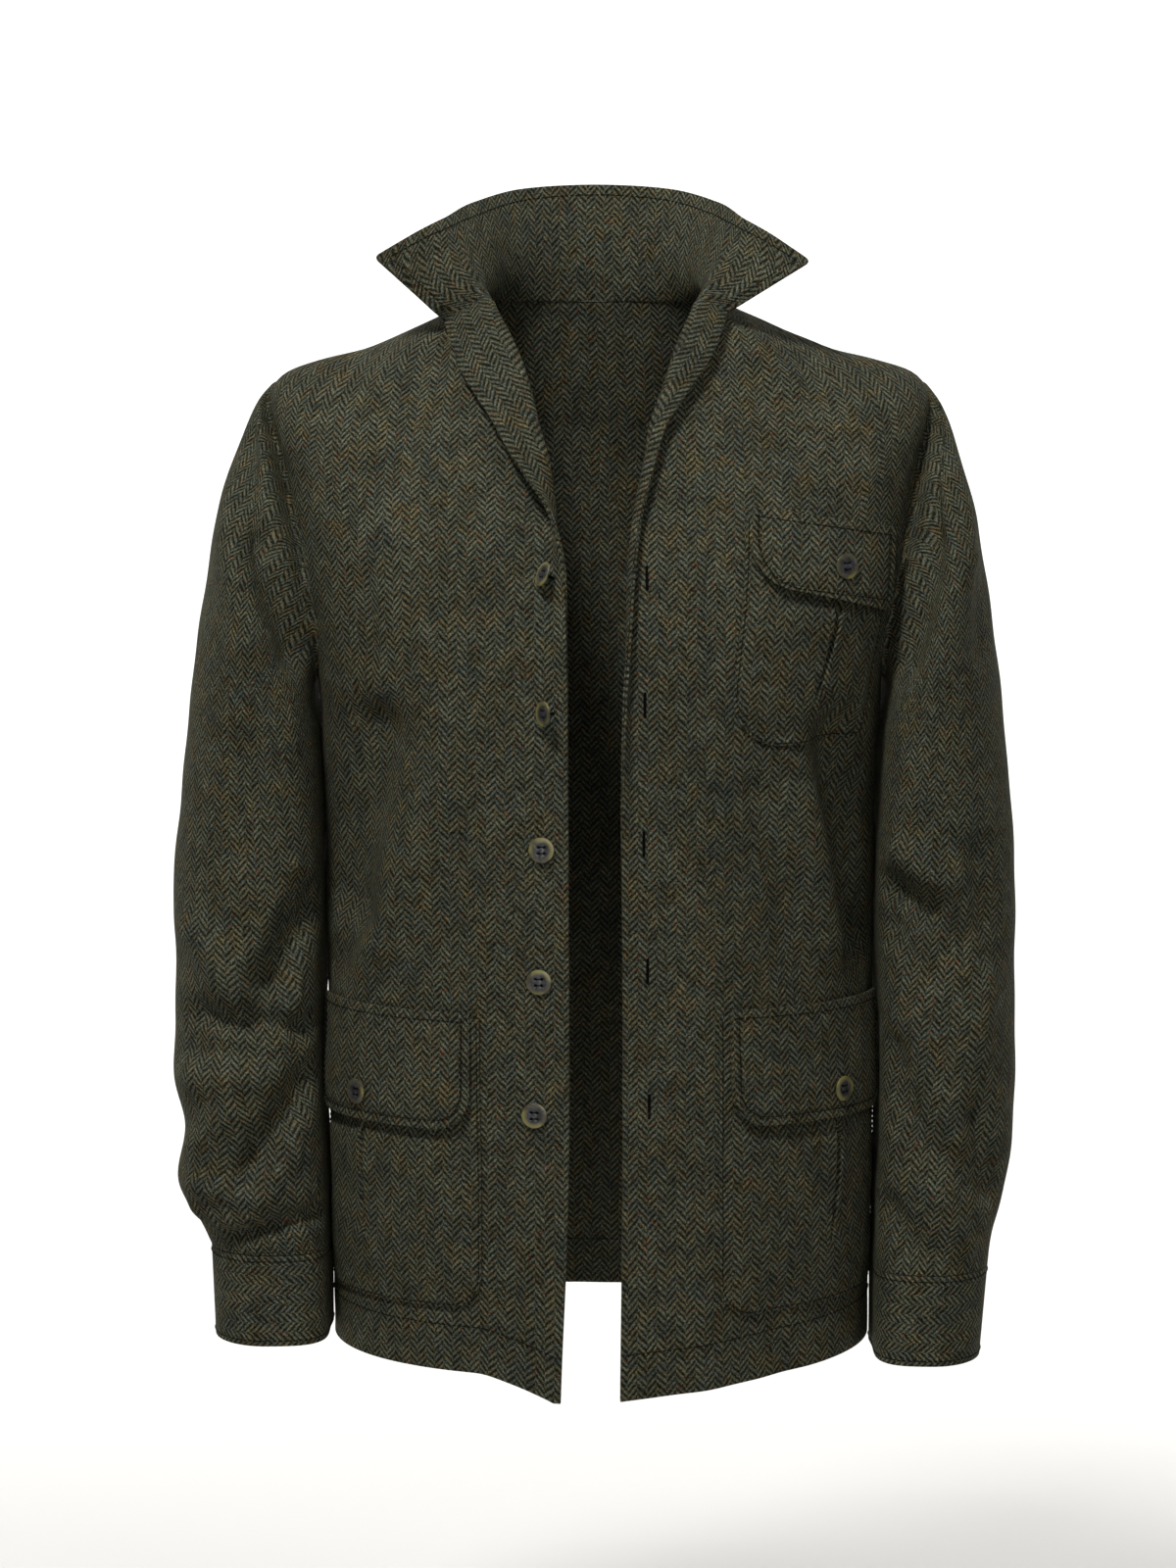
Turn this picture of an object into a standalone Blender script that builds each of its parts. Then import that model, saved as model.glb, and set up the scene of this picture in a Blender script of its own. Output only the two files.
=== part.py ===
"""Shirt jacket in herringbone tweed, in the hollow shape it keeps when worn open.

Metres, +Z up. The front faces -Y and the wearer's left is +X. The origin is on the
inner face of the back panel at the middle of the neck seam, where the garment hangs.
"""

import math
from collections import namedtuple

import bmesh
import bpy
from mathutils import Matrix, Vector

NAME = "shirt_jacket"

# ---------------------------------------------------------------- cloth
CLOTH = 0.0018          # wall of a cut panel
FACING_CLOTH = 0.0012   # wall of the facing behind a front edge
COLLAR_CLOTH = 0.0026   # two layers of cloth sewn together
POCKET_CLOTH = 0.0012
FLAP_CLOTH = 0.0018
SEAM = 0.0003           # gap left between two pieces at a seam
SEAM_SHARE = 0.7        # of it that each piece leaves; over a half for the turn of the cloth
LAID = 0.0010           # gap under a piece that lies on a curved panel
FLAP_LIFT = 0.0008      # gap between a bag and the flap over it

# ---------------------------------------------------------------- figure
# One row for each level of the body, from the hem up to the neck seam; a square under
# 1 makes its ring squarer than an ellipse.
Ring = namedtuple("Ring", "side_z front_z back_z half_width mid_x side_y front_y back_y square")
BODY = (
    Ring(-0.7360, -0.7400, -0.7340, 0.1930, 0.004, -0.105, -0.2400, 0.0150, 0.88),  # hem
    Ring(-0.6050, -0.6080, -0.6050, 0.1940, 0.004, -0.105, -0.2420, 0.0180, 0.88),  # pockets
    Ring(-0.4600, -0.4600, -0.4600, 0.1955, 0.003, -0.105, -0.2380, 0.0080, 0.88),  # waist
    Ring(-0.3500, -0.3500, -0.3520, 0.1965, 0.003, -0.105, -0.2380, 0.0180, 0.88),  # ribs
    Ring(-0.2620, -0.2660, -0.2720, 0.2010, 0.003, -0.105, -0.2370, 0.0270, 0.88),  # armpit
    Ring(-0.1880, -0.2050, -0.2060, 0.2150, 0.003, -0.101, -0.2300, 0.0310, 0.88),  # chest
    Ring(-0.1120, -0.1620, -0.1500, 0.2250, 0.003, -0.095, -0.2140, 0.0290, 0.90),  # blades
    Ring(-0.0520, -0.1250, -0.0970, 0.2290, 0.003, -0.086, -0.1930, 0.0220, 0.95),  # shoulder tip
    Ring(-0.0280, -0.0740, -0.0540, 0.1600, 0.002, -0.078, -0.1720, 0.0120, 0.98),  # mid shoulder
    Ring(0.0040, -0.0120, 0.0000, 0.0860, 0.000, -0.070, -0.1500, CLOTH, 0.95),     # neck seam
)
PIT, TIP, NECK = 4, 7, 9   # rows where the armhole starts and ends, and the neck seam
DROP = 1.4                 # how a ring's height runs from its side to its front

SIDE_SEAM = 90.0           # degrees round the body from the front centre
SHOULDER_SEAM = 96.0       # a little behind the ridge of the shoulder
ARMHOLE_FRONT = {-1: 21.0, 1: 18.0}   # reach of each armhole to the front, degrees
ARMHOLE_BACK = 27.0
ARMHOLE_SAG = 0.3          # how much wider the armhole is low down
ARMHOLE_HALF = 0.090       # half of its height, about

# ---------------------------------------------------------------- front edges
# roll_x is how far the fold of a front lies from the middle, strip the cloth beyond
# it, and curl the degrees by which that strip turns outwards as a soft lapel; drop is
# how far the corner at the hem hangs down, over the sweep of its side.
Edge = namedtuple("Edge", "z roll_x strip curl drop")
EDGES = {
    -1: (
        Edge(0.0060, 0.0788, 0.0400, 176.0, 0.0),
        Edge(-0.0280, 0.0615, 0.0460, 176.0, 0.0),
        Edge(-0.0530, 0.0520, 0.0420, 174.0, 0.0),
        Edge(-0.0800, 0.0455, 0.0340, 170.0, 0.0),
        Edge(-0.1060, 0.0380, 0.0290, 155.0, 0.0),
        Edge(-0.1470, 0.0330, 0.0190, 100.0, 0.0),
        Edge(-0.1900, 0.0325, 0.0130, 34.0, 0.0),
        Edge(-0.2600, 0.0295, 0.0100, 14.0, 0.0),
        Edge(-0.4000, 0.0290, 0.0100, 6.0, 0.0),
        Edge(-0.6000, 0.0290, 0.0100, 6.0, 0.0),
        Edge(-0.7600, 0.0355, 0.0100, 4.0, 0.018),
    ),
    1: (
        Edge(0.0060, 0.0760, 0.0270, 176.0, 0.0),
        Edge(-0.0280, 0.0613, 0.0300, 176.0, 0.0),
        Edge(-0.0530, 0.0530, 0.0230, 174.0, 0.0),
        Edge(-0.0800, 0.0435, 0.0165, 170.0, 0.0),
        Edge(-0.1060, 0.0390, 0.0135, 160.0, 0.0),
        Edge(-0.1470, 0.0309, 0.0120, 140.0, 0.0),
        Edge(-0.1900, 0.0275, 0.0110, 115.0, 0.0),
        Edge(-0.2600, 0.0265, 0.0105, 70.0, 0.0),
        Edge(-0.4000, 0.0280, 0.0100, 8.0, 0.0),
        Edge(-0.6000, 0.0285, 0.0100, 6.0, 0.0),
        Edge(-0.7600, 0.0270, 0.0100, 4.0, 0.018),
    ),
}
HEM_SWEEP = {-1: 0.050, 1: 0.200}
ROLL_RADIUS = 0.0035       # inside of the fold of a lapel
CHEST_RADIUS = 0.1500      # the laid lapel follows the chest at about this radius
FACING_REACH = 0.0400      # how far the facing runs in from the fold

# ---------------------------------------------------------------- collar
# Its free edge from the wearer's right tip round the back to the left tip.
Place = namedtuple("Place", "x y z")
COLLAR_TOP = (
    Place(-0.1560, -0.1300, 0.0360),
    Place(-0.1300, -0.1120, 0.0510),
    Place(-0.1080, -0.0880, 0.0620),
    Place(-0.0900, -0.0480, 0.0710),
    Place(-0.0560, -0.0020, 0.0800),
    Place(0.0000, 0.0160, 0.0830),
    Place(0.0560, -0.0020, 0.0800),
    Place(0.0900, -0.0480, 0.0710),
    Place(0.1060, -0.0880, 0.0610),
    Place(0.1270, -0.1120, 0.0490),
    Place(0.1510, -0.1300, 0.0330),
)
COLLAR_STAND = 0.030       # how far the collar rises straight from the seam
LEAF_PLACES = 2.0          # places of the table, from each tip, that the leaf lies on

# ---------------------------------------------------------------- sleeves
# out_x and out_z are the outer side of a ring, in_z its inner side, which hangs
# clear of the body's side; blend is 0 at the armhole and 1 where the tube is free.
Sleeve = namedtuple("Sleeve", "out_x out_z in_z clear mid_y half_y blend")
SLEEVES = {
    -1: (
        Sleeve(0.2478, -0.0760, -0.2680, 0.0037, -0.1000, 0.0698, 0.60),
        Sleeve(0.2578, -0.1050, -0.2740, 0.0037, -0.1020, 0.0758, 0.86),
        Sleeve(0.2673, -0.1400, -0.2830, 0.0024, -0.1040, 0.0798, 1.00),
        Sleeve(0.2758, -0.1850, -0.2980, 0.0012, -0.1050, 0.0808, 1.00),
        Sleeve(0.2846, -0.2430, -0.3200, 0.0006, -0.1060, 0.0798, 1.00),
        Sleeve(0.2913, -0.3000, -0.3560, 0.0006, -0.1070, 0.0778, 1.00),
        Sleeve(0.2968, -0.3540, -0.3940, 0.0007, -0.1090, 0.0748, 1.00),
        Sleeve(0.3018, -0.4070, -0.4320, 0.0006, -0.1120, 0.0718, 1.00),
        Sleeve(0.3007, -0.4580, -0.4700, 0.0030, -0.1150, 0.0698, 1.00),
        Sleeve(0.3007, -0.5040, -0.5080, 0.0034, -0.1230, 0.0678, 1.00),
        Sleeve(0.3018, -0.5440, -0.5440, 0.0034, -0.1290, 0.0658, 1.00),
        Sleeve(0.2943, -0.5810, -0.5800, 0.0026, -0.1340, 0.0618, 1.00),
        Sleeve(0.2993, -0.6200, -0.6130, 0.0014, -0.1380, 0.0608, 1.00),
        Sleeve(0.2848, -0.6450, -0.6420, 0.0014, -0.1400, 0.0558, 1.00),
        Sleeve(0.2753, -0.6650, -0.6640, 0.0010, -0.1420, 0.0488, 1.00),
    ),
    1: (
        Sleeve(0.2545, -0.0800, -0.2680, 0.0037, -0.1000, 0.0698, 0.60),
        Sleeve(0.2608, -0.1080, -0.2740, 0.0037, -0.1020, 0.0758, 0.86),
        Sleeve(0.2683, -0.1430, -0.2830, 0.0024, -0.1040, 0.0798, 1.00),
        Sleeve(0.2763, -0.1850, -0.2980, 0.0012, -0.1050, 0.0808, 1.00),
        Sleeve(0.2853, -0.2430, -0.3220, 0.0006, -0.1060, 0.0798, 1.00),
        Sleeve(0.2918, -0.3020, -0.3600, 0.0006, -0.1070, 0.0778, 1.00),
        Sleeve(0.2973, -0.3580, -0.4000, 0.0006, -0.1090, 0.0748, 1.00),
        Sleeve(0.2998, -0.4120, -0.4400, 0.0008, -0.1120, 0.0718, 1.00),
        Sleeve(0.2998, -0.4650, -0.4800, 0.0034, -0.1150, 0.0688, 1.00),
        Sleeve(0.2998, -0.5120, -0.5200, 0.0034, -0.1230, 0.0668, 1.00),
        Sleeve(0.2998, -0.5540, -0.5560, 0.0034, -0.1290, 0.0638, 1.00),
        Sleeve(0.2978, -0.5920, -0.5920, 0.0026, -0.1340, 0.0608, 1.00),
        Sleeve(0.2918, -0.6280, -0.6260, 0.0014, -0.1380, 0.0578, 1.00),
        Sleeve(0.2838, -0.6560, -0.6550, 0.0014, -0.1410, 0.0538, 1.00),
        Sleeve(0.2808, -0.6790, -0.6780, 0.0010, -0.1440, 0.0498, 1.00),
    ),
}
FLAT_SIDE = 0.6            # under 1 flattens the side of a sleeve that lies by the body
HUG = 0.0050               # how far that side comes in behind, round the body
TIP_BACK = 20.0            # degrees by which the shoulder tip lies behind a sleeve's top
SEAM_RUN = 0.0040          # the sleeve goes on from the armhole's seam by this much
SEAM_RISE = 0.0030         # and rises over the body by this much before it turns
UNDERARM = 0.8             # share of the armhole's half height where it only rises
CUFF_DEPTH = 0.064
CUFF_TAPER = {-1: 0.0030, 1: 0.0060}   # how far a cuff's outer side comes in
CUFF_FORWARD = 0.006                   # how far its foot leans to the front

# ---------------------------------------------------------------- folds
# A fold runs between two places as seen from the front, with a width and a rise out
# of the cloth (less than 0 is a trough); face is -1 on the front and 1 on the back.
Fold = namedtuple("Fold", "x0 z0 x1 z1 width rise face")
BODY_FOLDS = (
    Fold(-0.098, -0.302, -0.160, -0.440, 0.022, 0.0050, -1),
    Fold(0.148, -0.345, 0.170, -0.440, 0.018, 0.0050, -1),
    Fold(0.170, -0.335, 0.188, -0.440, 0.012, -0.0040, -1),
    Fold(-0.122, -0.022, -0.158, -0.060, 0.010, 0.0030, -1),
    Fold(0.104, -0.014, 0.136, -0.050, 0.010, 0.0030, -1),
    Fold(-0.120, -0.300, -0.085, -0.560, 0.026, 0.0045, 1),
    Fold(0.105, -0.280, 0.075, -0.540, 0.024, 0.0045, 1),
    Fold(-0.070, -0.400, 0.060, -0.430, 0.018, -0.0030, 1),
)
SLEEVE_FOLDS = {
    -1: (
        Fold(-0.212, -0.400, -0.236, -0.494, 0.011, -0.0080, -1),
        Fold(-0.240, -0.385, -0.262, -0.470, 0.014, 0.0050, -1),
        Fold(-0.282, -0.515, -0.215, -0.522, 0.010, -0.0050, -1),
        Fold(-0.210, -0.535, -0.250, -0.615, 0.011, -0.0060, -1),
        Fold(-0.285, -0.637, -0.245, -0.640, 0.008, 0.0040, -1),
        Fold(-0.212, -0.470, -0.280, -0.440, 0.013, -0.0050, 1),
        Fold(-0.285, -0.560, -0.215, -0.590, 0.012, -0.0050, 1),
    ),
    1: (
        Fold(0.244, -0.100, 0.238, -0.180, 0.010, -0.0035, -1),
        Fold(0.214, -0.410, 0.246, -0.452, 0.012, -0.0065, -1),
        Fold(0.226, -0.440, 0.262, -0.500, 0.014, 0.0045, -1),
        Fold(0.215, -0.560, 0.262, -0.612, 0.012, -0.0050, -1),
        Fold(0.212, -0.480, 0.280, -0.450, 0.013, -0.0050, 1),
        Fold(0.285, -0.570, 0.220, -0.600, 0.012, -0.0050, 1),
    ),
}

# ---------------------------------------------------------------- pockets
# near_x is the bag's edge by the front opening and width runs round the body from
# there; the flap is set in from the bag by inset, and button is the share of the
# flap's height where its button sits and middle the share of the width of both the
# button and the pleat, which the turned side of the body brings outwards.
Pocket = namedtuple("Pocket", "name side near_x top_z width height inset flap near_corner far_corner slant "
                              "middle button")
POCKETS = (
    Pocket("right", -1, 0.0810, -0.4830, 0.156, 0.206, 0.006, 0.082, 0.026, 0.020, 0.000, 0.60, 0.76),
    Pocket("left", 1, 0.0855, -0.4810, 0.156, 0.209, 0.007, 0.082, 0.026, 0.020, 0.000, 0.60, 0.76),
    Pocket("chest", 1, 0.1040, -0.1350, 0.120, 0.158, 0.002, 0.056, 0.036, 0.006, 0.016, 0.59, 0.56),
)
PLEAT_DEPTH = 0.0007       # groove where the pleat of a bag opens
PLEAT_WIDTH = 0.0030
PLEAT_END = 0.82           # share of the bag's height where the pleat is sewn shut
BAG_SET_DOWN = 0.004       # the bag starts this far under the flap's seam

# ---------------------------------------------------------------- buttons
BUTTON_RADIUS = 0.0100
BUTTON_RIM = 0.0034        # thickness at the rim
BUTTON_DISH = 0.0024       # thickness in the middle
BUTTON_SIDES = 16
HOLE_RADIUS = 0.0010
HOLE_SPREAD = 0.0019       # centre of each hole from the middle, both ways
BUTTON_LIFT = 0.0006       # the back of a flat button above the cloth that it is sewn to
# distance from the middle and height of each button on the right front, the degrees
# by which it hangs turned on its thread towards the wearer's right, and how far that
# takes the middle of its back off the cloth
Seat = namedtuple("Seat", "x z turn lift")
FRONT_BUTTONS = (
    Seat(-0.0350, -0.1805, 62.0, 0.0077),
    Seat(-0.0345, -0.2720, 54.0, 0.0072),
    Seat(-0.0375, -0.3670, 0.0, BUTTON_LIFT),
    Seat(-0.0395, -0.4600, 0.0, BUTTON_LIFT),
    Seat(-0.0427, -0.5540, 0.0, BUTTON_LIFT),
)

# ---------------------------------------------------------------- mesh density
LOW_ROWS, ARM_ROWS, TOP_ROWS = 8, 10, 3
FRONT_COLUMNS, STRIP_COLUMNS, BACK_COLUMNS = 13, 6, 18
COLLAR_ROWS, CUFF_ROWS = 5, 2
POCKET_ROWS, FLAP_ROWS = 8, 4
BAG_COLUMNS = 4                   # on each side of a bag's pleat
FLAP_COLUMNS = 8
CORNER_TURNS = (0, 30, 60, 84)    # degrees round a corner of the rows that shape it


# ================================================================ small helpers
def along(table, index):
    """Row of a table at a fractional index, on a smooth curve through its rows."""
    last = len(table) - 1
    index = min(max(index, 0.0), float(last))
    base = min(int(index), last - 1)
    f = index - base
    a, b, c, d = (table[min(max(base + k, 0), last)] for k in (-1, 0, 1, 2))
    values = []
    for p, q, r, s in zip(a, b, c, d):
        values.append(q + 0.5 * f * (r - p + f * (2 * p - 5 * q + 4 * r - s + f * (3 * (q - r) + s - p))))
    return type(table[0])(*values)


def bisect(value, low, high, steps=26):
    """Where a rising function of one number passes through zero."""
    for _ in range(steps):
        middle = 0.5 * (low + high)
        if value(middle) < 0.0:
            low = middle
        else:
            high = middle
    return 0.5 * (low + high)


def smooth(x):
    """0 below 0, 1 above 1 and an even slope between."""
    x = min(max(x, 0.0), 1.0)
    return x * x * (3.0 - 2.0 * x)


# ================================================================ body surface
def body_point(phi, level):
    """Point of the body's outer face, phi degrees round it, at a level of BODY."""
    ring = along(BODY, level)
    s, c = math.sin(math.radians(phi)), math.cos(math.radians(phi))
    end_y, end_z = (ring.front_y, ring.front_z) if c > 0 else (ring.back_y, ring.back_z)
    x = ring.mid_x + ring.half_width * math.copysign(abs(s) ** ring.square, s)
    y = ring.side_y + (end_y - ring.side_y) * abs(c) ** ring.square
    z = ring.side_z + (end_z - ring.side_z) * abs(c) ** DROP
    return Vector((x, y, z))


def body_normal(phi, level):
    """Outward direction of the body's face."""
    across = body_point(phi + 0.6, level) - body_point(phi - 0.6, level)
    low, high = max(level - 0.03, 0.0), min(level + 0.03, float(NECK))
    up = body_point(phi, high) - body_point(phi, low)
    return across.cross(up).normalized()


def fold_rise(point, normal, folds):
    """How far the folds of a table push the cloth out at a point."""
    total = 0.0
    for fold in folds:
        start, end = Vector((fold.x0, fold.z0)), Vector((fold.x1, fold.z1))
        run = end - start
        offset = Vector((point.x, point.z)) - start
        share = offset.dot(run) / run.length_squared
        away = (offset - run * min(max(share, 0.0), 1.0)).length
        facing = smooth(2.0 * normal.y * fold.face)
        total += fold.rise * facing * math.exp(-((away / fold.width) ** 2))
    return total


def skin(phi, level):
    """Point and outward direction of the body's cloth, folds included."""
    point, normal = body_point(phi, level), body_normal(phi, level)
    return point + normal * fold_rise(point, normal, BODY_FOLDS), normal


def seam_turn(level):
    """Half the seam gap as degrees round the body."""
    return math.degrees(SEAM_SHARE * SEAM / along(BODY, level).half_width)


def arm_angles():
    """Angles of the rows beside an armhole, from the armpit (-90) to the tip (90)."""
    return [-90.0 + 180.0 * k / ARM_ROWS for k in range(ARM_ROWS + 1)]


def arm_level(angle):
    """Level of BODY at an angle up the armhole."""
    return 0.5 * (PIT + TIP) + 0.5 * (TIP - PIT) * math.sin(math.radians(angle))


def arm_middle(angle):
    """Degrees round the body of the armhole's middle line."""
    share = 0.5 + 0.5 * math.sin(math.radians(angle))
    return SIDE_SEAM + (SHOULDER_SEAM - SIDE_SEAM) * smooth(share)


def arm_reach(angle, side, to_front):
    """Degrees from the armhole's middle line to its edge."""
    widest = ARMHOLE_FRONT[side] if to_front else ARMHOLE_BACK
    turn = math.radians(angle)
    return widest * max(math.cos(turn), 0.0) * (1.0 - ARMHOLE_SAG * math.sin(turn))


def row_levels():
    """Levels of the rows shared by the fronts and the back, with each arm angle."""
    rows = [(PIT * k / LOW_ROWS, None) for k in range(LOW_ROWS)]
    rows += [(arm_level(angle), angle) for angle in arm_angles()]
    rows += [(TIP + (NECK - TIP) * k / TOP_ROWS, None) for k in range(1, TOP_ROWS + 1)]
    return rows


def panel_end(level, angle, side, to_front):
    """Degrees round the body where a row of a panel ends at a seam or the armhole."""
    sign = -1.0 if to_front else 1.0
    if angle is None:
        end = SIDE_SEAM if level < PIT else SHOULDER_SEAM
    else:
        end = arm_middle(angle) + sign * arm_reach(angle, side, to_front)
    return end + sign * seam_turn(level)


# ================================================================ fronts
def edge_row(side, z):
    """Row of the front edge's table at a height."""
    table = EDGES[side]
    for index in range(len(table) - 1):
        if z >= table[index + 1].z:
            break
    upper, lower = table[index], table[index + 1]
    return along(table, index + min(max((upper.z - z) / (upper.z - lower.z), 0.0), 1.0))


def roll_turn(side, level):
    """Degrees round the body of the fold of a front, and its row of the table."""
    ring = along(BODY, level)
    phi = 20.0
    for _ in range(8):
        edge = edge_row(side, body_point(side * phi, level).z)
        reach = max((edge.roll_x - side * ring.mid_x) / ring.half_width, 0.01)
        phi = math.degrees(math.asin(min(reach, 0.99) ** (1.0 / ring.square)))
    return phi, edge


def curled(start, inward, normal, edge, length):
    """Point and direction of the strip beyond the fold, length along the cloth."""
    curl = math.radians(edge.curl)
    arc = min(curl * ROLL_RADIUS, 0.75 * edge.strip)
    radius = arc / curl
    share = min(length, arc) / radius
    point = start + inward * (radius * math.sin(share)) + normal * (radius * (1.0 - math.cos(share)))
    turn = share
    if length > arc:
        flat = length - arc
        turn = curl + flat / CHEST_RADIUS * smooth(edge.curl / 90.0 - 0.5)
        middle = 0.5 * (curl + turn)
        point += (inward * math.cos(middle) + normal * math.sin(middle)) * flat
    return point, (normal * math.cos(turn) - inward * math.sin(turn)).normalized()


def strip_lengths(edge):
    """Lengths along the cloth of the strip's columns, closer together in the fold."""
    arc = min(math.radians(edge.curl) * ROLL_RADIUS, 0.75 * edge.strip)
    bend = [arc * k / 4.0 for k in range(1, 5)]
    return bend + [arc + (edge.strip - arc) * 0.5, edge.strip]


def front_grid(side):
    """Rows of (point, direction) of a front, from its seam to its free edge."""
    rows = row_levels()
    rolls = [roll_turn(side, level) for level, _ in rows]
    starts = [skin(side * phi, level)[0] for (phi, _), (level, _) in zip(rolls, rows)]
    grid = []
    for index, (level, angle) in enumerate(rows):
        phi, edge = rolls[index]
        end = panel_end(level, angle, side, True)
        line = [skin(side * (end + (phi - end) * k / FRONT_COLUMNS), level) for k in range(FRONT_COLUMNS + 1)]
        start, normal = line[-1]
        roll = starts[min(index + 1, len(rows) - 1)] - starts[max(index - 1, 0)]
        inward = normal.cross(roll).normalized() * side
        line += [curled(start, inward, normal, edge, length) for length in strip_lengths(edge)]
        if edge.drop:
            edge_x, sweep = start.x, HEM_SWEEP[side]
            line = [(point - Vector((0, 0, edge.drop * smooth(1.0 - abs(point.x - edge_x) / sweep))), direction)
                    for point, direction in line]
        grid.append(line)
    return grid


def back_grid():
    """Rows of (point, direction) of the back, from the right seam to the left."""
    grid = []
    for level, angle in row_levels():
        right = panel_end(level, angle, -1, False)
        left = 360.0 - panel_end(level, angle, 1, False)
        step = (left - right) / BACK_COLUMNS
        grid.append([skin(-(right + step * k), level) for k in range(BACK_COLUMNS + 1)])
    return grid


# ================================================================ solids from grids
def inset(grid, depth):
    """The points of a grid of (point, direction), moved in by a depth."""
    return [[point - direction * depth for point, direction in line] for line in grid]


def add_object(name, mesh, material, collection):
    """An object of a mesh, with its material, in the part's collection."""
    mesh.materials.clear()
    mesh.materials.append(material)
    item = bpy.data.objects.new(name, mesh)
    collection.objects.link(item)
    return item


def wall(name, outer, inner, material, collection, wrap=False):
    """Closed wall between two grids of points; wrap joins its last column to the first."""
    rows, columns = len(outer), len(outer[0])
    form = bmesh.new()
    faces = [[[form.verts.new(point) for point in line] for line in grid] for grid in (outer, inner)]
    near, far = faces

    def quad(a, b, c, d):
        form.faces.new((a, b, c))
        form.faces.new((a, c, d))

    spans = [(k, (k + 1) % columns) for k in range(columns if wrap else columns - 1)]
    for row in range(rows - 1):
        for k, m in spans:
            quad(near[row][k], near[row][m], near[row + 1][m], near[row + 1][k])
            form.faces.new((far[row][m], far[row][k], far[row + 1][m]))
            form.faces.new((far[row][k], far[row + 1][k], far[row + 1][m]))
    for row, flip in ((0, False), (rows - 1, True)):
        for k, m in spans:
            ring = (near[row][m], near[row][k], far[row][k], far[row][m])
            quad(*(reversed(ring) if flip else ring))
    if not wrap:
        for k, flip in ((0, True), (columns - 1, False)):
            for row in range(rows - 1):
                ring = (near[row + 1][k], near[row][k], far[row][k], far[row + 1][k])
                quad(*(reversed(ring) if flip else ring))
    bmesh.ops.recalc_face_normals(form, faces=form.faces)
    if form.calc_volume(signed=True) < 0.0:
        bmesh.ops.reverse_faces(form, faces=form.faces)
    mesh = bpy.data.meshes.new(name)
    form.to_mesh(mesh)
    form.free()
    mesh.shade_smooth()
    mesh.set_sharp_from_angle(angle=math.radians(50.0))
    return add_object(name, mesh, material, collection)


def add_front(side, grid, cloth, collection):
    """One front panel with its lapel, and the facing behind its edge."""
    name = "left" if side > 0 else "right"
    outer = inset(grid, 0.0)
    wall("front_" + name, outer, inset(grid, CLOTH), cloth, collection)
    first = facing_column(grid)
    strip = [line[first:] for line in grid]
    near, far = CLOTH + SEAM, CLOTH + SEAM + FACING_CLOTH
    wall("facing_" + name, inset(strip, near), inset(strip, far), cloth, collection)


def facing_column(grid):
    """First column of a front that the facing lies behind, by its reach at the hem."""
    line = grid[0]
    for column in range(FRONT_COLUMNS, 0, -1):
        if (line[column][0] - line[FRONT_COLUMNS][0]).length >= FACING_REACH:
            return column
    return FRONT_COLUMNS - 1


# ================================================================ sleeves and cuffs
def arm_turns():
    """Angles round a sleeve: 0 at the top, over the front, 180 at the armpit, back."""
    return [180.0 * k / ARM_ROWS for k in range(2 * ARM_ROWS)]


def armhole_loop(side):
    """Points and directions of the armhole's edge, with the seam gap taken off."""
    loop = []
    middle = 0.5 * (PIT + TIP)
    for turn in arm_turns():
        to_front = turn <= 180.0
        angle = 90.0 - turn if to_front else turn - 270.0
        keep = 1.0 - 2.0 * SEAM_SHARE * SEAM / ARMHOLE_HALF
        level = middle + (arm_level(angle) - middle) * keep
        reach = arm_reach(angle, side, to_front) * keep * (-1.0 if to_front else 1.0)
        loop.append(skin(side * (arm_middle(angle) + reach), level))
    return loop


def body_side_x(side, z):
    """How far the body's side lies from the middle at a height below the armpit."""
    level = bisect(lambda value: along(BODY, value).side_z - z, 0.0, float(PIT))
    ring = along(BODY, level)
    return ring.half_width + side * ring.mid_x


def tube_ring(side, row, loop):
    """Points of one sleeve ring between its outer and its inner side."""
    outer = Vector((side * row.out_x, row.mid_y, row.out_z))
    inner = Vector((side * (body_side_x(side, row.in_z) + row.clear), row.mid_y, row.in_z))
    middle, half = (outer + inner) / 2.0, (outer - inner) / 2.0
    points = []
    for turn, (edge, _) in zip(arm_turns(), loop):
        turn -= TIP_BACK * 0.5 * (1.0 + math.cos(math.radians(turn)))
        c, s = math.cos(math.radians(turn)), math.sin(math.radians(turn))
        if c < 0.0:
            c = -abs(c) ** FLAT_SIDE
            s = math.copysign(abs(s) ** FLAT_SIDE, s)
        hug = 2.0 * HUG * abs(c) * s * s if c < 0.0 and s < 0.0 else 0.0
        free = middle + half * c + Vector((-side * hug, -row.half_y * s, 0.0))
        points.append(edge.lerp(free, row.blend))
    return points


def seam_ring(loop):
    """Points just past the armhole's seam: onward over the top, straight out under the arm."""
    centre = sum((point for point, _ in loop), Vector()) / len(loop)
    points = []
    for turn, (point, direction) in zip(arm_turns(), loop):
        onward = centre - point
        onward -= direction * onward.dot(direction)
        run = SEAM_RUN * smooth((1.0 + math.cos(math.radians(turn))) / UNDERARM)
        points.append(point + onward.normalized() * run + direction * SEAM_RISE)
    return points


def ring_directions(rings, row, side):
    """Outward directions of a tube's points, from the points round them."""
    count = len(rings[row])
    above, below = rings[max(row - 1, 0)], rings[min(row + 1, len(rings) - 1)]
    directions = []
    for k in range(count):
        across = rings[row][(k + 1) % count] - rings[row][k - 1]
        down = below[k] - above[k]
        directions.append(across.cross(down).normalized() * side)
    return directions


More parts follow.
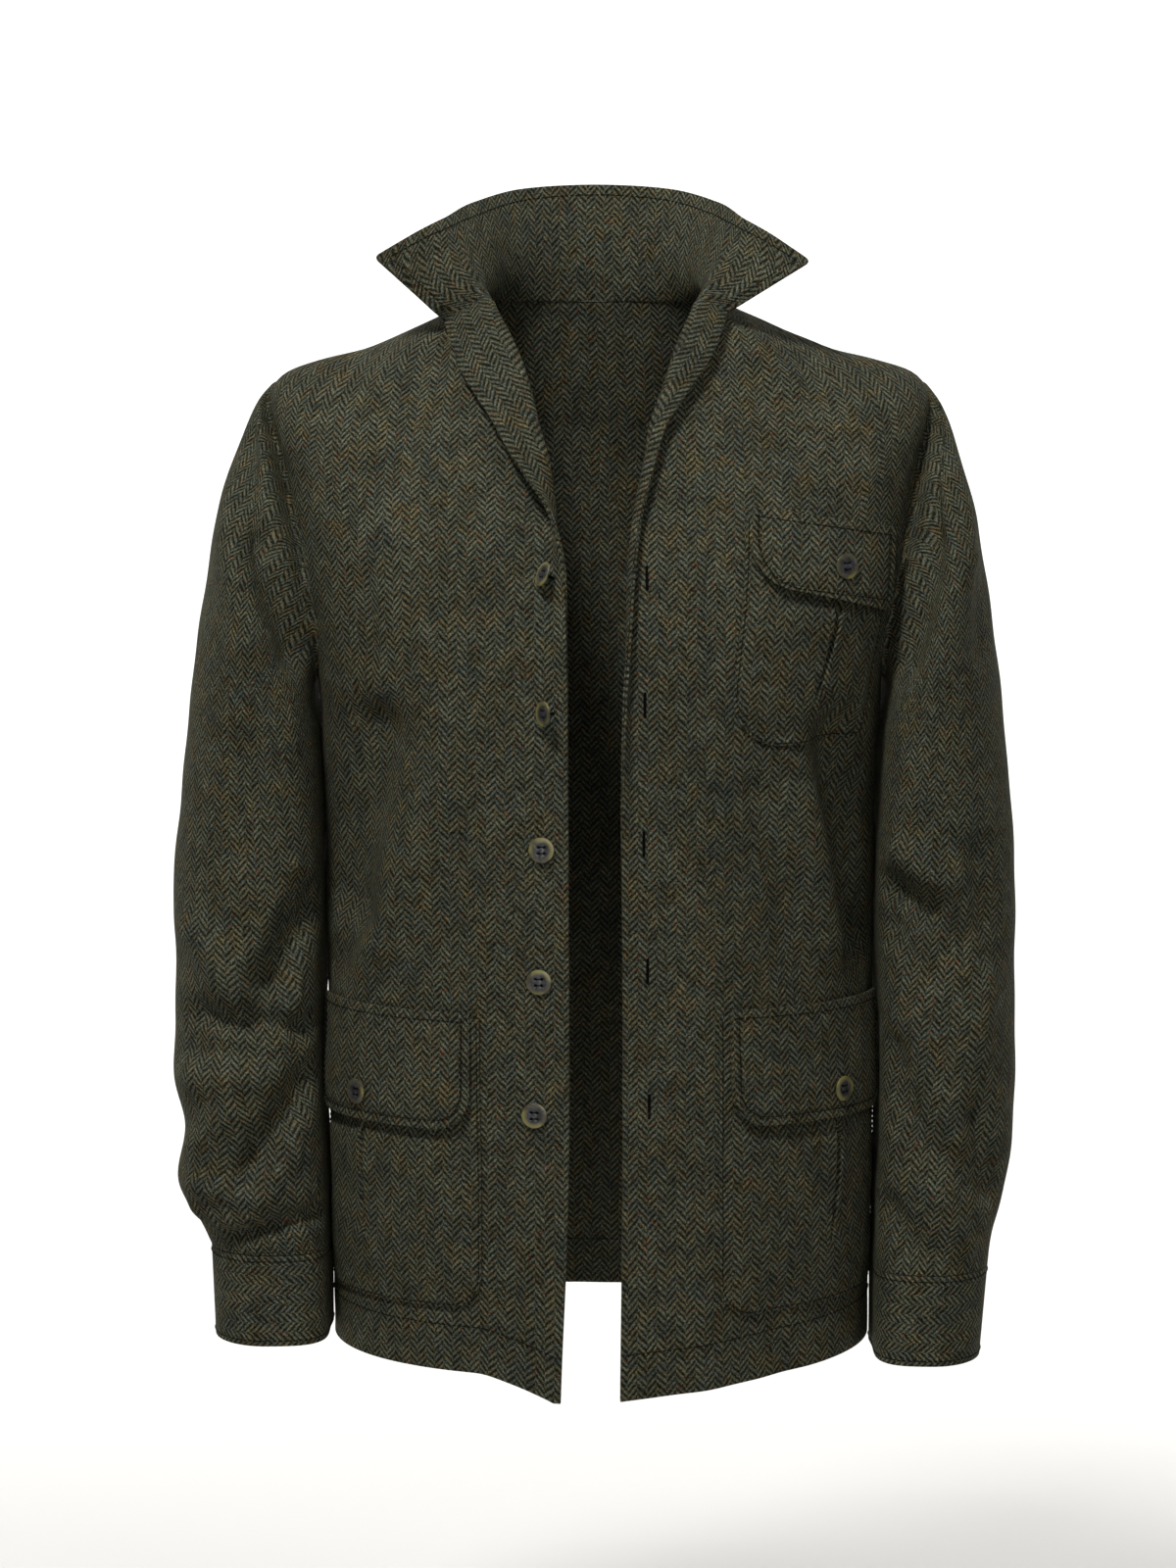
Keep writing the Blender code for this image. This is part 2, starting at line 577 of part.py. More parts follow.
def sleeve_grid(side):
    """Rows of (point, direction) of a sleeve, from the armhole to the cuff."""
    loop = armhole_loop(side)
    rings = [[point for point, _ in loop], seam_ring(loop)]
    rings += [tube_ring(side, row, loop) for row in SLEEVES[side]]
    grid = []
    for row in range(len(rings)):
        directions = ring_directions(rings, row, side)
        line = []
        for k, (point, direction) in enumerate(zip(rings[row], directions)):
            if 0 < row < len(rings) - 1:
                point = point + direction * fold_rise(point, direction, SLEEVE_FOLDS[side])
            line.append((point, direction))
        grid.append(line)
    return grid


def cuff_grid(side, sleeve):
    """Rows of (point, direction) of a cuff that goes on from a sleeve's last ring."""
    last = [point for point, _ in sleeve[-1]]
    directions = [direction for _, direction in sleeve[-1]]
    grid = []
    for row in range(CUFF_ROWS + 1):
        share = row / CUFF_ROWS
        line = []
        for turn, point, direction in zip(arm_turns(), last, directions):
            outward = 0.5 + 0.5 * math.cos(math.radians(turn))
            shift = Vector((-side * CUFF_TAPER[side] * outward * share, -CUFF_FORWARD * share,
                            -2.0 * SEAM - CUFF_DEPTH * share))
            line.append((point + shift, Vector((direction.x, direction.y, 0.0)).normalized()))
        grid.append(line)
    return grid


def add_sleeve(side, cloth, collection):
    """One sleeve and its cuff."""
    name = "left" if side > 0 else "right"
    sleeve = sleeve_grid(side)
    last = [(point, Vector((direction.x, direction.y, 0.0)).normalized()) for point, direction in sleeve[-1]]
    sleeve[-1] = last
    wall("sleeve_" + name, inset(sleeve, 0.0), inset(sleeve, CLOTH), cloth, collection, wrap=True)
    cuff = cuff_grid(side, sleeve)
    wall("cuff_" + name, inset(cuff, 0.0), inset(cuff, CLOTH), cloth, collection, wrap=True)


# ================================================================ collar
def collar_foot(right, back, left):
    """Points, directions and rises along the neck seam, and each one's place on top."""
    foot = []
    strip, neck = STRIP_COLUMNS, FRONT_COLUMNS

    def rise_of(grid, column):
        return (grid[-1][column][0] - grid[-2][column][0]).normalized()

    for column in range(strip + neck, 0, -1):
        on_strip = column > neck
        top = 2.0 * (strip + neck - column) / strip if on_strip else 3.0 - column / neck
        foot.append((*right[-1][column], rise_of(right, column), top))
    for column in range(BACK_COLUMNS + 1):
        foot.append((*back[-1][column], rise_of(back, column), 3.0 + 4.0 * column / BACK_COLUMNS))
    for column in range(1, strip + neck + 1):
        on_strip = column > neck
        top = 8.0 + 2.0 * (column - neck) / strip if on_strip else 7.0 + column / neck
        foot.append((*left[-1][column], rise_of(left, column), top))
    return foot


def collar_grid(right, back, left):
    """Rows of (point, direction) of the collar, from the neck seam to its free edge."""
    foot = collar_foot(right, back, left)
    rows = []
    last = len(COLLAR_TOP) - 1
    for row in range(COLLAR_ROWS + 1):
        share = row / COLLAR_ROWS
        line = []
        for point, _, rise, top in foot:
            low = point + rise * (2.0 * SEAM)
            high = Vector(along(COLLAR_TOP, top))
            standing = smooth(min(top, last - top) / LEAF_PLACES)
            bend = ((low + high) / 2.0).lerp(low + rise * COLLAR_STAND, standing)
            line.append(low * (1 - share) ** 2 + bend * 2 * share * (1 - share) + high * share ** 2)
        rows.append(line)
    grid = [[(point, direction) for point, (_, direction, _, _) in zip(rows[0], foot)]]
    for row in range(1, len(rows)):
        line = []
        for k, point in enumerate(rows[row]):
            across = rows[row][min(k + 1, len(foot) - 1)] - rows[row][max(k - 1, 0)]
            up = rows[min(row + 1, len(rows) - 1)][k] - rows[row - 1][k]
            line.append((point, up.cross(across).normalized()))
        grid.append(line)
    return grid


# ================================================================ pockets
def find_level(phi, z, low, high):
    """Level of BODY where the body's face has a height."""
    return bisect(lambda level: body_point(phi, level).z - z, low, high)


def turn_at(side, x, z):
    """Degrees round the body of a place seen at x and z from the front."""
    phi = 30.0
    for _ in range(8):
        level = find_level(side * phi, z, 0.0, float(TIP))
        ring = along(BODY, level)
        reach = min((x - side * ring.mid_x) / ring.half_width, 0.999)
        phi = math.degrees(math.asin(reach ** (1.0 / ring.square)))
    return phi


def turn_along(side, phi, z, length):
    """Degrees round the body after going a length outwards from phi."""
    step = 1.0
    level = find_level(side * phi, z, 0.0, float(TIP))
    point = body_point(side * phi, level)
    while length > 0.0:
        level = find_level(side * (phi + step), z, 0.0, float(TIP))
        after = body_point(side * (phi + step), level)
        run = (after - point).length
        phi += step * min(1.0, length / run)
        length -= run
        point = after
    return phi


def panel_place(grid, side, phi, level):
    """Point and direction on a front's own facets, phi degrees round it at a level."""
    rows = row_levels()
    row = 0
    while row < len(rows) - 2 and rows[row + 1][0] < level:
        row += 1
    v = (level - rows[row][0]) / (rows[row + 1][0] - rows[row][0])
    shares = []
    for index in (row, row + 1):
        end = panel_end(*rows[index], side, True)
        roll, _ = roll_turn(side, rows[index][0])
        shares.append((end - phi) / (end - roll) * FRONT_COLUMNS)
    u = min(max(shares[0] + (shares[1] - shares[0]) * v, 0.0), FRONT_COLUMNS - 0.0001)
    column = int(u)
    u -= column
    a, b = grid[row][column], grid[row][column + 1]
    d, c = grid[row + 1][column], grid[row + 1][column + 1]
    if u >= v:
        point = a[0] + (b[0] - a[0]) * u + (c[0] - b[0]) * v
    else:
        point = a[0] + (d[0] - a[0]) * v + (c[0] - d[0]) * u
    return point, a[1].lerp(b[1], u).lerp(d[1].lerp(c[1], u), v).normalized()


def laid_grid(pocket, front, columns, rows, place_of, inner, outer):
    """Outer and inner points of a piece laid on a front.

    place_of(share, down) gives the distance along the width, the height below the
    pocket's top and an extra rise for a share of the width and a depth.
    """
    near = turn_at(pocket.side, pocket.near_x, pocket.top_z)
    grids = ([], [])
    for down in rows:
        lines = ([], [])
        for share in columns:
            across, below, extra = place_of(share, down)
            z = pocket.top_z - below
            phi = turn_along(pocket.side, near, z, across)
            level = find_level(pocket.side * phi, z, 0.0, float(TIP))
            point, normal = panel_place(front, pocket.side, phi, level)
            lines[0].append(point + normal * (outer + extra))
            lines[1].append(point + normal * inner)
        grids[0].append(lines[0])
        grids[1].append(lines[1])
    return grids


def cut_off(up, corner):
    """How far a rounded corner takes an edge in, at a height over the piece's foot."""
    if up >= corner:
        return 0.0
    return corner - math.sqrt(max(corner ** 2 - (corner - up) ** 2, 0.0))


def rounded(share, up, width, near_corner, far_corner):
    """Distance along the width of a share of a row, at a height over the piece's foot."""
    near, far = cut_off(up, near_corner), cut_off(up, far_corner)
    return near + (width - near - far) * share


def corner_rows(height, corner, count):
    """Depths of the rows of a piece, closer together in its rounded corners."""
    straight = [(height - corner) * k / count for k in range(count)]
    return straight + [height - corner * (1.0 - math.sin(math.radians(a))) for a in CORNER_TURNS]


def bag_columns(pocket):
    """Shares of a bag's width for its columns, three of them at the pleat."""
    half = 0.5 * PLEAT_WIDTH / pocket.width
    near, far = pocket.middle - half, pocket.middle + half
    before = [near * k / BAG_COLUMNS for k in range(BAG_COLUMNS + 1)]
    after = [far + (1.0 - far) * k / BAG_COLUMNS for k in range(BAG_COLUMNS + 1)]
    return before + [pocket.middle] + after


def add_pocket(pocket, front, cloth, collection):
    """A bag with its open pleat, and the flap that hangs over it."""
    flap_width = pocket.width - 2.0 * pocket.inset

    def bag_place(share, down):
        across = rounded(share, pocket.height - down, pocket.width, pocket.near_corner, pocket.far_corner)
        in_pleat = share == pocket.middle and down < PLEAT_END * pocket.height
        slant = pocket.slant * share * (1.0 - down / pocket.height)
        return across, BAG_SET_DOWN + down + slant, -PLEAT_DEPTH if in_pleat else 0.0

    def flap_place(share, down):
        across = rounded(share, pocket.flap - down, flap_width, pocket.near_corner, pocket.far_corner)
        return pocket.inset + across, down + pocket.slant * share, 0.0

    rows = corner_rows(pocket.height, pocket.near_corner, POCKET_ROWS)
    columns = bag_columns(pocket)
    outer, inner = laid_grid(pocket, front, columns, rows, bag_place, LAID, LAID + POCKET_CLOTH)
    wall("pocket_" + pocket.name, outer, inner, cloth, collection)
    base = LAID + POCKET_CLOTH + FLAP_LIFT
    rows = corner_rows(pocket.flap, pocket.near_corner, FLAP_ROWS)
    columns = [k / FLAP_COLUMNS for k in range(FLAP_COLUMNS + 1)]
    outer, inner = laid_grid(pocket, front, columns, rows, flap_place, base, base + FLAP_CLOTH)
    wall("flap_" + pocket.name, outer, inner, cloth, collection)


# ================================================================ buttons
def button_mesh():
    """A dished round button with four holes, its back at z = 0."""
    profile = ((0.0, BUTTON_DISH), (0.56, BUTTON_DISH), (0.74, BUTTON_RIM), (0.94, BUTTON_RIM),
               (1.0, 0.6 * BUTTON_RIM), (0.82, 0.0), (0.0, 0.0))
    form = bmesh.new()
    points = [form.verts.new((BUTTON_RADIUS * r, 0.0, z)) for r, z in profile]
    for first, second in zip(points, points[1:]):
        form.edges.new((first, second))
    mesh = bpy.data.meshes.new("button_profile")
    form.to_mesh(mesh)
    form.free()
    disc = bpy.data.objects.new("button_profile", mesh)
    bpy.context.scene.collection.objects.link(disc)
    screw = disc.modifiers.new("turn", "SCREW")
    screw.steps = screw.render_steps = BUTTON_SIDES
    screw.use_merge_vertices = True
    screw.merge_threshold = 0.00002
    cutters = []
    for x, y in ((1, 1), (-1, 1), (-1, -1), (1, -1)):
        bpy.ops.mesh.primitive_cylinder_add(vertices=6, radius=HOLE_RADIUS, depth=4.0 * BUTTON_RIM,
                                            location=(x * HOLE_SPREAD, y * HOLE_SPREAD, 0.0))
        cutter = bpy.context.active_object
        cutters.append(cutter)
        cut = disc.modifiers.new("hole", "BOOLEAN")
        cut.object = cutter
        cut.operation = "DIFFERENCE"
    bpy.context.view_layer.update()
    graph = bpy.context.evaluated_depsgraph_get()
    solid = bpy.data.meshes.new_from_object(disc.evaluated_get(graph))
    for item in cutters + [disc]:
        bpy.data.objects.remove(item, do_unlink=True)
    solid.name = "button"
    solid.shade_smooth()
    solid.set_sharp_from_angle(angle=math.radians(35.0))
    return solid


def place_button(name, mesh, point, normal, material, collection):
    """One button with its back towards the cloth at a point."""
    item = add_object(name, mesh, material, collection)
    side = Vector((0.0, 0.0, 1.0)).cross(normal).normalized()
    up = normal.cross(side)
    frame = Matrix((side, up, normal)).transposed().to_4x4()
    item.matrix_world = Matrix.Translation(point) @ frame


def add_buttons(fronts, horn, collection):
    """Five buttons down the right front and one on each flap."""
    mesh = button_mesh()
    for number, seat in enumerate(FRONT_BUTTONS, start=1):
        phi = turn_at(-1, -seat.x, seat.z)
        level = find_level(-phi, seat.z, 0.0, float(TIP))
        point, normal = panel_place(fronts[-1], -1, phi, level)
        facing = Matrix.Rotation(math.radians(-seat.turn), 3, "Z") @ normal
        place_button("button_front_%d" % number, mesh, point + normal * seat.lift, facing, horn, collection)
    for pocket in POCKETS:
        near = turn_at(pocket.side, pocket.near_x, pocket.top_z)
        z = pocket.top_z - pocket.button * pocket.flap - pocket.middle * pocket.slant
        phi = turn_along(pocket.side, near, z, pocket.middle * pocket.width)
        level = find_level(pocket.side * phi, z, 0.0, float(TIP))
        point, normal = panel_place(fronts[pocket.side], pocket.side, phi, level)
        lift = LAID + POCKET_CLOTH + FLAP_LIFT + FLAP_CLOTH + BUTTON_LIFT
        place_button("button_flap_" + pocket.name, mesh, point + normal * lift, normal, horn, collection)


# ================================================================ scene
def clear_scene():
    """Remove whatever the scene holds."""
    for item in list(bpy.data.objects):
        bpy.data.objects.remove(item, do_unlink=True)


def make_material(name, colour, roughness):
    """A plain material with a colour and a roughness."""
    material = bpy.data.materials.new(name)
    material.use_nodes = True
    shader = material.node_tree.nodes["Principled BSDF"]
    shader.inputs["Base Color"].default_value = (*colour, 1.0)
    shader.inputs["Roughness"].default_value = roughness
    shader.inputs["Metallic"].default_value = 0.0
    return material


def main():
    """Build every piece of the jacket."""
    clear_scene()
    collection = bpy.data.collections.new(NAME)
    bpy.context.scene.collection.children.link(collection)
    cloth = make_material("tweed", (0.040, 0.041, 0.027), 0.95)
    horn = make_material("horn", (0.035, 0.037, 0.022), 0.35)
    right, left, back = front_grid(-1), front_grid(1), back_grid()
    wall("back", inset(back, 0.0), inset(back, CLOTH), cloth, collection)
    add_front(-1, right, cloth, collection)
    add_front(1, left, cloth, collection)
    add_sleeve(-1, cloth, collection)
    add_sleeve(1, cloth, collection)
    collar = collar_grid(right, back, left)
    wall("collar", inset(collar, 0.0), inset(collar, COLLAR_CLOTH), cloth, collection)
    fronts = {-1: right, 1: left}
    for pocket in POCKETS:
        add_pocket(pocket, fronts[pocket.side], cloth, collection)
    add_buttons(fronts, horn, collection)


main()
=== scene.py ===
"""Looks of the herringbone shirt jacket: fine cloth, stitching, buttons, light and camera.

Metres, +Z up, the front faces -Y and the wearer's left is +X (side 1).
"""

import logging
import math
from dataclasses import dataclass, field
from enum import Enum
from typing import Callable, NamedTuple, Optional, Sequence

import bpy
import numpy as np
from mathutils import Matrix, Vector


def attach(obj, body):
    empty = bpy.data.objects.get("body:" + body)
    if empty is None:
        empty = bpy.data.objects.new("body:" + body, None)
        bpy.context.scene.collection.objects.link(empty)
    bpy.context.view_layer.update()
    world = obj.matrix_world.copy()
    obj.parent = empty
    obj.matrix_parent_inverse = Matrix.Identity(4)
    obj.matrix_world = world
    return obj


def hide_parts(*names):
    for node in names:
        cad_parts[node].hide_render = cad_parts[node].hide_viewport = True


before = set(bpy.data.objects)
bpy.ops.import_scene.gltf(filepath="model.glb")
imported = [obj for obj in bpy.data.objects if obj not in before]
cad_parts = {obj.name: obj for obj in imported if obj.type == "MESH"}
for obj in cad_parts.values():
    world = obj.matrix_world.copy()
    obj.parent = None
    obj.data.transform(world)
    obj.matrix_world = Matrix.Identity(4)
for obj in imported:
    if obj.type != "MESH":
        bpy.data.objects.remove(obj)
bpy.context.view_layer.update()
LOG = logging.getLogger("shirt_jacket")

# ---------------------------------------------------------------- cloth
CLOTH, FACING_CLOTH, COLLAR_CLOTH = 0.0018, 0.0012, 0.0026   # thickness; the collar is two layers
POCKET_CLOTH, FLAP_CLOTH = 0.0012, 0.0018
SEAM, SEAM_SHARE = 0.0003, 0.7                               # gap at a seam, and each side's share of it
LAID, FLAP_LIFT = 0.0010, 0.0008                             # gaps under a bag and under a flap
EDGE_ROUND = 0.00056         # the turned edge of a piece is rounded by this much


class Ring(NamedTuple):
    """One level of the body: heights and reaches at its side, front and back."""

    side_z: float
    front_z: float
    back_z: float
    half_width: float
    mid_x: float
    side_y: float
    front_y: float
    back_y: float
    square: float


class Edge(NamedTuple):
    """A front's fold at a height: its place, the cloth beyond it, its curl and its drop."""

    z: float
    roll_x: float
    strip: float
    curl: float
    drop: float


class SleeveRing(NamedTuple):
    """One ring of a sleeve; blend is 0 at the armhole and 1 where the tube is free."""

    out_x: float
    out_z: float
    in_z: float
    clear: float
    mid_y: float
    half_y: float
    blend: float


class Fold(NamedTuple):
    """A ridge or trough between two places seen from the front or (face 1) the back."""

    x0: float
    z0: float
    x1: float
    z1: float
    width: float
    rise: float
    face: float


class PocketCut(NamedTuple):
    """A patch pocket and its flap, laid on a front."""

    name: str
    side: int
    near_x: float
    top_z: float
    width: float
    height: float
    inset: float
    flap: float
    near_corner: float
    far_corner: float
    slant: float
    middle: float
    button: float
    lean: float


class Seat(NamedTuple):
    """Where a button sits on the right front, how it hangs turned and how far off."""

    x: float
    z: float
    turn: float
    lift: float


BODY = (
    Ring(-0.7360, -0.7400, -0.7340, 0.1930, 0.004, -0.105, -0.2400, 0.0150, 0.88),  # hem
    Ring(-0.6050, -0.6080, -0.6050, 0.1940, 0.004, -0.105, -0.2420, 0.0180, 0.88),  # pockets
    Ring(-0.4600, -0.4600, -0.4600, 0.1955, 0.003, -0.105, -0.2380, 0.0080, 0.88),  # waist
    Ring(-0.3500, -0.3500, -0.3520, 0.1965, 0.003, -0.105, -0.2380, 0.0180, 0.88),  # ribs
    Ring(-0.2620, -0.2660, -0.2720, 0.2010, 0.003, -0.105, -0.2370, 0.0270, 0.88),  # armpit
    Ring(-0.1880, -0.2050, -0.2060, 0.2150, 0.003, -0.101, -0.2300, 0.0310, 0.88),  # chest
    Ring(-0.1120, -0.1620, -0.1500, 0.2250, 0.003, -0.095, -0.2140, 0.0290, 0.90),  # blades
    Ring(-0.0520, -0.1250, -0.0970, 0.2290, 0.003, -0.086, -0.1930, 0.0220, 0.95),  # shoulder tip
    Ring(-0.0280, -0.0740, -0.0540, 0.1600, 0.002, -0.078, -0.1720, 0.0120, 0.98),  # mid shoulder
    Ring(0.0040, -0.0120, 0.0000, 0.0860, 0.000, -0.070, -0.1500, CLOTH, 0.95),     # neck seam
)
PIT, TIP, NECK = 4, 7, 9                # rings at the armpit, the shoulder's tip and the neck seam
DROP = 1.4                              # power of a level's fall from the side to the front and the back
SIDE_SEAM, SHOULDER_SEAM = 90.0, 96.0   # degrees round the body from the middle of the front
ARMHOLE_FRONT = {-1: 21.0, 1: 18.0}     # degrees from the armhole's middle line to its widest place
ARMHOLE_BACK, ARMHOLE_SAG, ARMHOLE_HALF = 27.0, 0.3, 0.090

EDGES = {
    -1: (
        Edge(0.0060, 0.0788, 0.0400, 176.0, 0.0),
        Edge(-0.0280, 0.0615, 0.0460, 176.0, 0.0),
        Edge(-0.0530, 0.0520, 0.0420, 174.0, 0.0),
        Edge(-0.0800, 0.0455, 0.0340, 170.0, 0.0),
        Edge(-0.1060, 0.0380, 0.0290, 155.0, 0.0),
        Edge(-0.1470, 0.0330, 0.0190, 100.0, 0.0),
        Edge(-0.1900, 0.0325, 0.0130, 34.0, 0.0),
        Edge(-0.2600, 0.0295, 0.0100, 14.0, 0.0),
        Edge(-0.4000, 0.0290, 0.0100, 6.0, 0.0),
        Edge(-0.6000, 0.0290, 0.0100, 6.0, 0.0),
        Edge(-0.7600, 0.0355, 0.0100, 4.0, 0.018),
    ),
    1: (
        Edge(0.0060, 0.0760, 0.0270, 176.0, 0.0),
        Edge(-0.0280, 0.0613, 0.0300, 176.0, 0.0),
        Edge(-0.0530, 0.0530, 0.0230, 174.0, 0.0),
        Edge(-0.0800, 0.0435, 0.0165, 170.0, 0.0),
        Edge(-0.1060, 0.0390, 0.0135, 160.0, 0.0),
        Edge(-0.1470, 0.0309, 0.0120, 140.0, 0.0),
        Edge(-0.1900, 0.0275, 0.0110, 115.0, 0.0),
        Edge(-0.2600, 0.0265, 0.0105, 70.0, 0.0),
        Edge(-0.4000, 0.0280, 0.0100, 8.0, 0.0),
        Edge(-0.6000, 0.0285, 0.0100, 6.0, 0.0),
        Edge(-0.7600, 0.0270, 0.0100, 4.0, 0.018),
    ),
}
HEM_SWEEP = {-1: 0.050, 1: 0.200}       # how far from the front edge the hem starts to drop
ROLL_RADIUS, CHEST_RADIUS = 0.0035, 0.1500   # of the fold, and of the lapel laid over the chest
FACING_REACH = 0.0400                   # how far the facing goes in from the fold

# the collar's free edge, from the wearer's right tip round the back to the left tip
COLLAR_TOP = (
    (-0.1560, -0.1300, 0.0360),
    (-0.1300, -0.1120, 0.0510),
    (-0.1080, -0.0880, 0.0620),
    (-0.0900, -0.0480, 0.0710),
    (-0.0560, -0.0020, 0.0800),
    (0.0000, 0.0160, 0.0830),
    (0.0560, -0.0020, 0.0800),
    (0.0900, -0.0480, 0.0710),
    (0.1060, -0.0880, 0.0610),
    (0.1270, -0.1120, 0.0490),
    (0.1510, -0.1300, 0.0330),
)
COLLAR_STAND = 0.030                    # the collar's back stands this high before it leans
LEAF_PLACES = 2.0                       # places of COLLAR_TOP that each leaf takes

SLEEVES = {
    -1: (
        SleeveRing(0.2478, -0.0760, -0.2680, 0.0037, -0.1000, 0.0698, 0.60),
        SleeveRing(0.2578, -0.1050, -0.2740, 0.0037, -0.1020, 0.0758, 0.86),
        SleeveRing(0.2673, -0.1400, -0.2830, 0.0024, -0.1040, 0.0798, 1.00),
        SleeveRing(0.2758, -0.1850, -0.2980, 0.0012, -0.1050, 0.0808, 1.00),
        SleeveRing(0.2846, -0.2430, -0.3200, 0.0006, -0.1060, 0.0798, 1.00),
        SleeveRing(0.2913, -0.3000, -0.3560, 0.0006, -0.1070, 0.0778, 1.00),
        SleeveRing(0.2968, -0.3540, -0.3940, 0.0007, -0.1090, 0.0748, 1.00),
        SleeveRing(0.3018, -0.4070, -0.4320, 0.0006, -0.1120, 0.0718, 1.00),
        SleeveRing(0.3007, -0.4580, -0.4700, 0.0012, -0.1150, 0.0698, 1.00),
        SleeveRing(0.3007, -0.5040, -0.5080, 0.0034, -0.1230, 0.0678, 1.00),
        SleeveRing(0.3018, -0.5440, -0.5440, 0.0034, -0.1290, 0.0658, 1.00),
        SleeveRing(0.2943, -0.5810, -0.5800, 0.0026, -0.1340, 0.0618, 1.00),
        SleeveRing(0.2993, -0.6200, -0.6130, 0.0014, -0.1380, 0.0608, 1.00),
        SleeveRing(0.2848, -0.6450, -0.6420, 0.0014, -0.1400, 0.0558, 1.00),
        SleeveRing(0.2753, -0.6650, -0.6640, 0.0010, -0.1420, 0.0488, 1.00),
    ),
    1: (
        SleeveRing(0.2545, -0.0800, -0.2680, 0.0037, -0.1000, 0.0698, 0.60),
        SleeveRing(0.2608, -0.1080, -0.2740, 0.0037, -0.1020, 0.0758, 0.86),
        SleeveRing(0.2683, -0.1430, -0.2830, 0.0024, -0.1040, 0.0798, 1.00),
        SleeveRing(0.2763, -0.1850, -0.2980, 0.0012, -0.1050, 0.0808, 1.00),
        SleeveRing(0.2853, -0.2430, -0.3220, 0.0006, -0.1060, 0.0798, 1.00),
        SleeveRing(0.2918, -0.3020, -0.3600, 0.0006, -0.1070, 0.0778, 1.00),
        SleeveRing(0.2973, -0.3580, -0.4000, 0.0006, -0.1090, 0.0748, 1.00),
        SleeveRing(0.2998, -0.4120, -0.4400, 0.0008, -0.1120, 0.0718, 1.00),
        SleeveRing(0.2998, -0.4650, -0.4800, 0.0020, -0.1150, 0.0688, 1.00),
        SleeveRing(0.2998, -0.5120, -0.5200, 0.0034, -0.1230, 0.0668, 1.00),
        SleeveRing(0.2998, -0.5540, -0.5560, 0.0034, -0.1290, 0.0638, 1.00),
        SleeveRing(0.2978, -0.5920, -0.5920, 0.0026, -0.1340, 0.0608, 1.00),
        SleeveRing(0.2918, -0.6280, -0.6260, 0.0014, -0.1380, 0.0578, 1.00),
        SleeveRing(0.2838, -0.6560, -0.6550, 0.0014, -0.1410, 0.0538, 1.00),
        SleeveRing(0.2808, -0.6790, -0.6780, 0.0010, -0.1440, 0.0498, 1.00),
    ),
}
# a sleeve's flatter side towards the body, how it leans on the back, and how far (degrees) its outer
# line turns back
FLAT_SIDE, HUG, TIP_BACK = 0.6, 0.0050, 20.0
# the sleeve's head goes this far over the seam and this far up, less towards the armpit
SEAM_RUN, SEAM_RISE, UNDERARM = 0.0040, 0.0030, 0.8
DEEPEST = 0.0230                        # folds that cross never add up to more than this
CUFF_DEPTH, CUFF_FORWARD = 0.064, 0.006
CUFF_TAPER = {-1: 0.0030, 1: 0.0060}

BODY_FOLDS = (
    Fold(-0.098, -0.302, -0.160, -0.440, 0.022, 0.0050, -1),
    Fold(0.148, -0.345, 0.170, -0.440, 0.018, 0.0050, -1),
    Fold(0.170, -0.335, 0.188, -0.440, 0.012, -0.0040, -1),
    Fold(-0.122, -0.022, -0.158, -0.060, 0.010, 0.0030, -1),
    Fold(0.104, -0.014, 0.136, -0.050, 0.010, 0.0030, -1),
    Fold(-0.120, -0.300, -0.085, -0.560, 0.026, 0.0045, 1),
    Fold(0.105, -0.280, 0.075, -0.540, 0.024, 0.0045, 1),
    Fold(-0.070, -0.400, 0.060, -0.430, 0.018, -0.0030, 1),
)
# creases too small for the solids
BODY_CREASES = (
    Fold(-0.154, -0.290, -0.180, -0.410, 0.019, -0.0190, -1),
    Fold(-0.164, -0.420, -0.186, -0.462, 0.013, -0.0080, -1),
    Fold(-0.100, -0.322, -0.150, -0.440, 0.014, 0.0040, -1),
    Fold(-0.162, -0.185, -0.159, -0.232, 0.010, -0.0043, -1),
    Fold(-0.120, -0.235, -0.100, -0.300, 0.016, 0.0025, -1),
    Fold(-0.110, -0.045, -0.152, -0.110, 0.012, -0.0029, -1),
    Fold(-0.062, -0.350, -0.085, -0.470, 0.015, 0.0025, -1),
    Fold(-0.060, -0.640, -0.064, -0.745, 0.014, 0.0032, -1),
    Fold(0.168, -0.290, 0.190, -0.446, 0.016, -0.0200, -1),
    Fold(0.138, -0.300, 0.170, -0.440, 0.013, 0.0058, -1),
    Fold(0.112, -0.330, 0.140, -0.460, 0.012, -0.0036, -1),
    Fold(0.104, -0.040, 0.142, -0.095, 0.011, -0.0032, -1),
    Fold(0.062, -0.300, 0.080, -0.430, 0.016, 0.0022, -1),
    Fold(0.070, -0.640, 0.078, -0.745, 0.016, 0.0036, -1),
    Fold(0.128, -0.690, 0.134, -0.745, 0.014, -0.0029, -1),
    Fold(-0.170, -0.090, -0.110, -0.200, 0.014, -0.0026, 1),
    Fold(0.175, -0.085, 0.120, -0.210, 0.014, -0.0026, 1),
    Fold(-0.150, -0.480, -0.040, -0.510, 0.011, 0.0022, 1),
    Fold(0.030, -0.360, 0.140, -0.330, 0.011, 0.0022, 1),
    Fold(-0.030, -0.560, -0.020, -0.730, 0.020, 0.0024, 1),
    Fold(0.110, -0.590, 0.120, -0.735, 0.018, -0.0024, 1),
)
